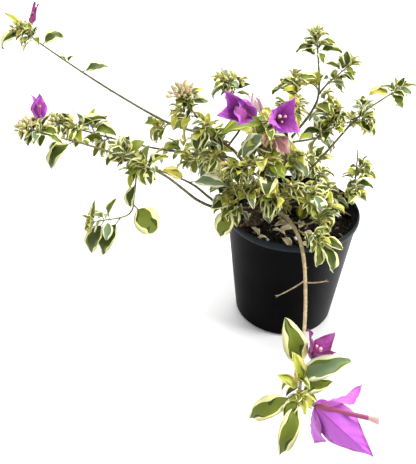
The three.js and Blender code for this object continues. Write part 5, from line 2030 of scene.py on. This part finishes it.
@dataclass
class Foliage:
    """The leaves, the tufts of young leaves at the twigs' tips, the buds and the blooms, in millimetres."""

    masses: list[Mass]
    patterns: LeafPatterns
    bud_heads: tuple[BudHead, ...] = BUD_HEADS
    seed: int = 313
    leaf_pieces: int = 4
    tuft_leaves: int = 11
    tuft_rise: float = 0.7
    tuft_spread: Span = (0.2, 1.05)
    tuft_play: float = 0.15
    tuft_length: Span = (0.22, 0.3)
    young_share: Span = (0.75, 0.3)
    size_play: Span = (0.8, 1.2)
    bud_rise: float = 1.4
    bud_spread: float = 1.35
    bud_reach: Span = (0.45, 1.0)
    bud_stalk: float = 0.4
    bloom_stalk: float = 0.8
    florets: int = 3
    long_floret: float = 50.0
    long_breadth: float = 0.62
    long_heading: Vector = headed(-20, 5)

    def build(self) -> None:
        """Make the leaves, the buds and the blooms."""
        draw = Draw(self.seed)
        share = math.ceil(len(self.masses) / self.leaf_pieces)
        for number in range(self.leaf_pieces):
            masses = self.masses[number * share:(number + 1) * share]
            piece = Piece(f"leaves_{number + 1}")
            for mass in masses:
                for index, leaf in enumerate(mass.leaves):
                    shapes = self.patterns.broad_leaves if index < mass.lone else self.patterns.leaves
                    piece.lay(draw.pick(shapes), leaf.matrix(), TINT_FINISHES[leaf.tint])
                self._tufts(piece, mass, draw)
            piece.build("foliage", [mass.node for mass in masses])
        self._buds(draw)
        self._blooms(draw)

    def _tufts(self, piece: Piece, mass: Mass, draw: Draw) -> None:
        """Crowd small young leaves, pointing up and out, at the tips of a mass's twigs.

        Args:
            piece: The piece that they join.
            mass: The mass.
            draw: The run of numbers.
        """
        for spur in mass.spurs:
            if spur.count < GrowthRule.SMALLEST_CLUSTER:
                continue
            frame = Station.at_tip(spur.end, (spur.along + UP * self.tuft_rise).normalized())
            for index in range(self.tuft_leaves):
                part = index / (self.tuft_leaves - 1)
                turn = index * GOLDEN_TURN + draw()
                spread = self.tuft_spread[0] + self.tuft_spread[1] * part
                spread += draw.between(-self.tuft_play, self.tuft_play)
                size = self.tuft_length[0] + self.tuft_length[1] * part
                length = spur.length * size * draw.between(*self.size_play)
                leaf = laid_blade(spur.end, frame.leaning(spread, turn), frame.along, length)
                pattern = draw.pick(self.patterns.leaves)
                young = self.young_share[0] - self.young_share[1] * part
                tint = Tint.YOUNG if draw() < young else Tint.BRIGHT
                piece.lay(pattern, leaf.matrix(), TINT_FINISHES[tint])

    def _buds(self, draw: Draw) -> None:
        """Crowd a dome of buds, each on a thread of stalk, at each budding cane's tip.

        Args:
            draw: The run of numbers.
        """
        piece, bud = Piece("buds"), self.patterns.bud()
        tips = {mass.cane.spec.name: mass.cane.station(1.0) for mass in self.masses}
        for head in self.bud_heads:
            tip = tips[head.cane]
            frame = Station.at_tip(tip.point, (tip.along + UP * self.bud_rise).normalized())
            for index in range(head.count):
                spread = self.bud_spread * math.sqrt((index + 0.5) / head.count)
                direction = frame.leaning(spread, index * GOLDEN_TURN)
                root = tip.point + direction * head.reach * draw.between(*self.bud_reach)
                piece.lay_twig(tip.point, root, UP, self.bud_stalk)
                placed = laid_blade(root - direction * 0.4, direction + UP * 0.25, frame.along,
                                    head.bud * draw.between(*self.size_play))
                piece.lay(bud, placed.matrix(), (BUD_GREEN if draw() < head.green else BUD_CREAM,
                                                 BUD_PINK if draw() < head.pink else BUD_CREAM))
        piece.build("foliage", [f"{head.cane}_foliage" for head in self.bud_heads])

    def _blooms(self, draw: Draw) -> None:
        """Lay the bracts round their florets.

        Args:
            draw: The run of numbers.
        """
        bracts, florets = Piece("bracts"), Piece("florets")
        floret = self.patterns.floret()
        for mass in self.masses:
            for bract in mass.bracts:
                bracts.lay(draw.pick(self.patterns.bracts), bract.matrix(), BLOOM_FINISHES[bract.tint])
            for stalk in mass.stalks:
                florets.lay_twig(stalk.start, stalk.end, UP, self.bloom_stalk)
                self._stand_florets(florets, floret, stalk)
        blooming = [mass.node for mass in self.masses if mass.stalks]
        bracts.build("foliage", blooming)
        florets.build("foliage", blooming)

    def _stand_florets(self, piece: Piece, floret: Template, stalk: Stalk) -> None:
        """Stand slim florets inside a bloom; the pale bloom's first one is long and hangs out of it.

        Args:
            piece: The piece that they join.
            floret: The floret's pattern.
            stalk: The bloom's stalk.
        """
        frame = stalk.frame()
        finishes = (SPENT_TAN, SPENT_PALE) if stalk.state in WITHERED else (FLORET_ROSE, FLORET_CREAM)
        for index in range(self.florets):
            side = frame.sideways(index * math.tau / self.florets + 0.5)
            direction = stalk.axis + side * (0.1 + 0.25 * math.sin(stalk.opening))
            blade = laid_blade(stalk.end, direction, side, stalk.bract * (0.52 - 0.08 * index))
            if index == 0 and stalk.state is Bloom.PALE:
                blade = laid_blade(stalk.end, self.long_heading, UP, self.long_floret)
                blade.breadth = self.long_breadth
            piece.lay(floret, blade.matrix(), finishes)


# --- the pot and its mix ------------------------------------------------------------------------------


@dataclass
class Pot:
    """The round nursery pot, in millimetres."""

    height: float = GROUND.pot_height
    rim_radius: float = GROUND.rim_radius
    top_radius: float = GROUND.top_radius
    wall: float = GROUND.wall
    base_radius: float = 64.5
    band_height: float = 9.0
    lip_radius: float = 1.6
    floor: float = 2.6
    edge_rounding: float = 5.0
    drain_holes: int = 6
    drain_radius: float = 6.0
    drain_ring: float = 46.0
    drill_depth: float = 20.0
    drill_sides: int = 32
    sides: int = 128
    sharp_angle: float = math.radians(38)

    def wall_radius(self, height: float) -> float:
        """Give the wall's outer radius at a height."""
        share = min(height, self.height - self.band_height) / (self.height - self.band_height)
        return self.base_radius + (self.top_radius - self.base_radius) * share

    def _profile(self) -> list[tuple[float, float]]:
        """Lay out the shell's half section, from the underside's centre round to the floor's.

        Returns:
            Its points, as radius and height.
        """
        foot = self.height - self.band_height
        corner = self.base_radius - self.edge_rounding
        rounding = [
            (corner + (self.wall_radius(self.edge_rounding) - corner) * math.sin(turn),
             self.edge_rounding * (1 - math.cos(turn)))
            for turn in map(math.radians, range(0, 91, 15))
        ]
        roll = self.band_height / 2
        lip = [
            (self.rim_radius - self.lip_radius + self.lip_radius * math.cos(turn),
             self.height - roll + (roll - 0.2) * math.sin(turn))
            for turn in map(math.radians, range(-60, 91, 15))
        ]
        inner = [(self.wall_radius(height) - self.wall, height) for height in (foot, 100.0, 50.0, self.floor)]
        return [
            (0.0, 0.0), (self.drain_ring + self.drain_radius + 4, 0.0), *rounding,
            (self.wall_radius(60.0), 60.0), (self.wall_radius(foot) - 0.1, foot - 1.5),
            (self.wall_radius(foot) + 0.5, foot), *lip, (self.rim_radius - 2.6, self.height - 0.4), *inner,
            (0.0, self.floor),
        ]

    def _shell(self) -> bmesh.types.BMesh:
        """Spin the half section round.

        Returns:
            The shell without its drain holes, in metres.
        """
        shell = bmesh.new()
        profile = [shell.verts.new((r * METRES, 0, z * METRES)) for r, z in self._profile()]
        edges = [shell.edges.new(pair) for pair in zip(profile, profile[1:])]
        bmesh.ops.spin(shell, geom=[*profile, *edges], cent=(0, 0, 0), axis=(0, 0, 1), dvec=(0, 0, 0),
                       angle=math.tau, steps=self.sides, use_merge=True)
        bmesh.ops.remove_doubles(shell, verts=shell.verts, dist=SEAM)
        bmesh.ops.recalc_face_normals(shell, faces=shell.faces)
        return shell

    def _drills(self) -> bmesh.types.BMesh:
        """Set a drill through each drain hole.

        Returns:
            The drills, in metres.
        """
        drills = bmesh.new()
        ring, radius = self.drain_ring * METRES, self.drain_radius * METRES
        for index in range(self.drain_holes):
            turn = index * math.tau / self.drain_holes
            place = Matrix.Translation((ring * math.cos(turn), ring * math.sin(turn), 0))
            bmesh.ops.create_cone(drills, cap_ends=True, segments=self.drill_sides, radius1=radius,
                                  radius2=radius, depth=self.drill_depth * METRES, matrix=place)
        return drills

    def build(self) -> None:
        """Drill the shell's drain holes and dress it."""
        pot = object_of("nursery_pot", self._shell())
        cutter = object_of("drain_drills", self._drills())
        cut = pot.modifiers.new("drain", "BOOLEAN")
        cut.object = cutter
        cut.solver = "EXACT"
        bpy.context.view_layer.update()
        cut_pot = pot.evaluated_get(bpy.context.evaluated_depsgraph_get())
        drilled = bpy.data.meshes.new_from_object(cut_pot)
        pot.modifiers.clear()
        pot.data = drilled
        bpy.data.objects.remove(cutter)
        drilled.materials.clear()
        for finish in (SATIN_BLACK, LIP_HIGHLIGHT):
            drilled.materials.append(finish.material())
        # Faces above the band's foot take the lip's lighter colour, a painted highlight.
        lip = (self.height - self.band_height - 1.0) * METRES
        slots = [int(face.center.z > lip) for face in drilled.polygons]
        drilled.polygons.foreach_set("material_index", slots)
        drilled.set_sharp_from_angle(angle=self.sharp_angle)
        adopt(pot, ["pot"])


@dataclass
class PottingMix:
    """The lumpy mix in the pot, with the chips, grit and fallen leaves on it, in millimetres.

    curled lists leaves that lie at (x, y, bearing, length), pearls large white grains (x, y, radius).
    """

    pot: Pot
    patterns: LeafPatterns
    top: float = GROUND.soil_top
    cells: int = 96
    seed: int = 58
    lumps: int = 8
    chips: int = 620
    grit: int = 34
    fallen: int = 11
    straw: float = 0.05
    edge_clear: float = 2.5
    leaf_clear: float = 12.5
    chip_sizes: Span = (0.9, 3.4)
    chip_stretch: tuple[Span, ...] = ((0.8, 2.4), (0.5, 1.0), (0.3, 0.6))
    chip_tilt: float = 0.5
    chip_rise: float = 0.18
    grain_sizes: Span = (0.9, 1.9)
    grain_stretch: Place = (1.0, 1.0, 0.9)
    fallen_lengths: Span = (13.0, 22.0)
    fallen_rise: float = 2.2
    curled: tuple[tuple[float, float, float, float], ...] = (
        (-22.0, -36.0, 10.0, 19.0), (-27.0, -17.0, -15.0, 21.0), (-10.0, -41.0, 160.0, 17.0),
        (6.0, -28.0, 75.0, 16.0),
    )
    pearls: tuple[Place, ...] = ((0.5, -42.0, 2.9), (-33.0, -43.0, 2.1), (21.0, -50.0, 1.9))

    @property
    def inner_radius(self) -> float:
        """Give the pot's inner radius at the mix's top."""
        return self.pot.wall_radius(self.top) - self.pot.wall

    def surface(self, x: float, y: float) -> float:
        """Work out the height of the mix at a place.

        Args:
            x: The place's first measure.
            y: Its second.

        Returns:
            The height.
        """
        spot = Vector((x, y, 0))
        heap = 1.6 * noise.noise(spot * 0.035) + 1.5 * noise.noise(spot * 0.11)
        heap += 0.9 * noise.noise(spot * 0.33)
        return self.top - 1.6 + heap - 2.2 * (math.hypot(x, y) / 76) ** 6

    def build(self) -> None:
        """Make the body of mix, then scatter what lies on it."""
        self._body()
        draw = Draw(self.seed)
        self._crumbs(draw)
        self._fallen_leaves(draw)

    def _body(self) -> None:
        """Round a grid off to the pot's inside, heap it and close it down to the floor."""
        body = bmesh.new()
        radius = self.inner_radius - 0.4
        bmesh.ops.create_grid(body, x_segments=self.cells, y_segments=self.cells, size=radius)
        for corner in body.verts:
            flat = Vector((corner.co.x, corner.co.y))
            square = max(abs(flat.x), abs(flat.y))
            if flat.length > 0:
                flat *= square / flat.length
            corner.co = (flat.x, flat.y, self.surface(flat.x, flat.y))
        rim = [edge for edge in body.edges if edge.is_boundary]
        low = bmesh.ops.extrude_edge_only(body, edges=rim)["geom"]
        foot = self.pot.floor + 0.3
        shrink = (self.pot.wall_radius(foot) - self.pot.wall - 0.5) / radius
        for corner in (part for part in low if isinstance(part, bmesh.types.BMVert)):
            corner.co = (corner.co.x * shrink, corner.co.y * shrink, foot)
        bmesh.ops.holes_fill(body, edges=[edge for edge in body.edges if edge.is_boundary], sides=0)
        bmesh.ops.recalc_face_normals(body, faces=body.faces)
        piece = Piece("potting_mix_body")
        piece.lay(Template.of(body), np.diag((METRES, METRES, METRES, 1.0)), (DAMP_MIX,))
        piece.build("potting_mix", ["potting_mix"])

    def _crumbs(self, draw: Draw) -> None:
        """Scatter bark chips, straw and perlite on the mix.

        Args:
            draw: The run of numbers.
        """
        piece = Piece("mix_crumbs")
        lumps = [self._lump(draw) for _ in range(self.lumps)]
        metres = Matrix.Scale(METRES, 4)
        for index in range(self.chips + self.grit):
            x, y = self._place(draw, self.inner_radius - self.edge_clear)
            grain = index >= self.chips
            size = draw.between(*self.grain_sizes) if grain else draw.between(*self.chip_sizes) ** 1.1
            stretch = self.grain_stretch if grain else [draw.between(*span) for span in self.chip_stretch]
            turned = Matrix.Rotation(draw() * math.tau, 4, "Z")
            tilted = turned @ Matrix.Rotation(draw.between(-self.chip_tilt, self.chip_tilt), 4, "X")
            sized = tilted @ Matrix.Diagonal((*(size * part for part in stretch), 1))
            placed = Matrix.Translation((x, y, self.surface(x, y) + size * self.chip_rise)) @ sized
            finish = PERLITE if grain else STRAW_CHIP if draw() < self.straw else BARK_CHIP
            piece.lay(lumps[index % len(lumps)], np.array(metres @ placed), (finish,))
        for lump, (x, y, size) in zip(lumps, self.pearls):
            placed = Matrix.Translation((x, y, self.surface(x, y) + size * 0.5)) @ Matrix.Scale(size, 4)
            piece.lay(lump, np.array(metres @ placed), (PERLITE,))
        piece.build("potting_mix", ["potting_mix"])

    def _fallen_leaves(self, draw: Draw) -> None:
        """Drop dry leaves on the mix.

        Args:
            draw: The run of numbers.
        """
        piece = Piece("fallen_leaves")
        leaves = self.patterns.leaves
        for index in range(self.fallen):
            x, y = self._place(draw, self.inner_radius - self.leaf_clear)
            turn = draw() * math.tau
            root = Vector((x, y, self.surface(x, y) + self.fallen_rise))
            leaf = laid_blade(root, Vector((math.cos(turn), math.sin(turn), 0.02)), UP,
                              draw.between(*self.fallen_lengths), draw.between(-0.5, 0.5))
            piece.lay(leaves[index % len(leaves)], leaf.matrix(), TINT_FINISHES[Tint.DRY])
        for index, (x, y, bearing, length) in enumerate(self.curled):
            root = Vector((x, y, self.surface(x, y) + 3.0))
            leaf = laid_blade(root, headed(bearing, 4.0), UP, length, 0.2)
            piece.lay(leaves[-2 - 2 * index], leaf.matrix(), TINT_FINISHES[Tint.DRY])
        piece.build("potting_mix", ["potting_mix"])

    @staticmethod
    def _place(draw: Draw, reach: float) -> tuple[float, float]:
        """Draw a place on the mix, within a reach of its middle."""
        turn, out = draw() * math.tau, math.sqrt(draw()) * reach
        return out * math.cos(turn), out * math.sin(turn)

    @staticmethod
    def _lump(draw: Draw) -> Template:
        """Make an uneven crumb.

        Args:
            draw: The run of numbers.

        Returns:
            The crumb, about a unit in radius.
        """
        form = bmesh.new()
        bmesh.ops.create_icosphere(form, subdivisions=1, radius=1.0)
        for corner in form.verts:
            corner.co *= draw.between(0.7, 1.15)
        return Template.of(form)


# --- the stage ----------------------------------------------------------------------------------------


@dataclass(frozen=True)
class Lamp:
    """A square soft lamp: its place, its width and the point it faces in metres, its power in watts."""

    name: str
    place: Place
    size: float
    power: float
    faces: Place = (-0.08, -0.05, 0.15)

    def hang(self) -> None:
        """Hang the lamp."""
        lamp = bpy.data.lights.new(self.name, "AREA")
        lamp.size = self.size
        lamp.energy = self.power
        hung = bpy.data.objects.new(self.name, lamp)
        hung.location = self.place
        hung.rotation_euler = (Vector(self.place) - Vector(self.faces)).to_track_quat("Z", "Y").to_euler()
        bpy.context.scene.collection.objects.link(hung)


@dataclass
class Stage:
    """The pale floor, the soft light and the camera, in metres."""

    eye: Place = (-0.104, -0.5749, 0.5229)
    pitch: float = math.radians(55.0)
    lens: float = 42.67
    sensor: float = 36.0
    nearest: float = 0.01
    floor_reach: float = 6.0
    sky: tuple[float, ...] = (0.97, 0.98, 1.0, 1.0)
    sky_strength: float = 0.62
    lamps: tuple[Lamp, ...] = (
        Lamp("window", (1.0, -0.3, 0.85), 0.5, 19.0),
        Lamp("overhead", (-0.25, 0.3, 1.6), 0.8, 20.0),
        Lamp("fill", (-0.9, -1.2, 0.9), 1.2, 4.0),
        Lamp("backdrop", (0.0, 2.6, 1.9), 2.6, 90.0, (0.0, 2.4, 0.0)),
    )

    def build(self) -> None:
        """Set the floor, the lamps, the sky and the camera."""
        self._floor()
        for lamp in self.lamps:
            lamp.hang()
        scene = bpy.context.scene
        scene.view_settings.view_transform = "Standard"
        world = bpy.data.worlds.new("studio")
        world.use_nodes = True
        background = world.node_tree.nodes["Background"]
        background.inputs["Color"].default_value = self.sky
        background.inputs["Strength"].default_value = self.sky_strength
        scene.world = world
        lens = bpy.data.cameras.new("camera")
        lens.lens, lens.sensor_width, lens.clip_start = self.lens, self.sensor, self.nearest
        camera = bpy.data.objects.new("camera", lens)
        camera.location = self.eye
        camera.rotation_euler = (self.pitch, 0.0, 0.0)
        scene.collection.objects.link(camera)
        scene.camera = camera

    def _floor(self) -> None:
        """Lay the floor."""
        form = bmesh.new()
        bmesh.ops.create_grid(form, x_segments=1, y_segments=1, size=self.floor_reach)
        floor = object_of("floor", form)
        floor.data.materials.append(Finish("floor_pale", (0.82, 0.82, 0.82), 0.9).material())


def main() -> None:
    """Load the frame and dress the plant and its pot."""
    logging.basicConfig(level=logging.INFO, format="%(name)s: %(message)s")
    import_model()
    Stage().build()
    patterns = LeafPatterns()
    pot = Pot()
    pot.build()
    PottingMix(pot, patterns).build()
    rule = GrowthRule(CANES, BLOOM_STATES, LONE_TINTS)
    masses = rule.grow()
    LOG.info("grown: %d leaves on %d masses", sum(len(mass.leaves) for mass in masses), len(masses))
    Woodwork(rule.canes, masses).build()
    Foliage(masses, patterns).build()


if __name__ == "__main__":
    main()
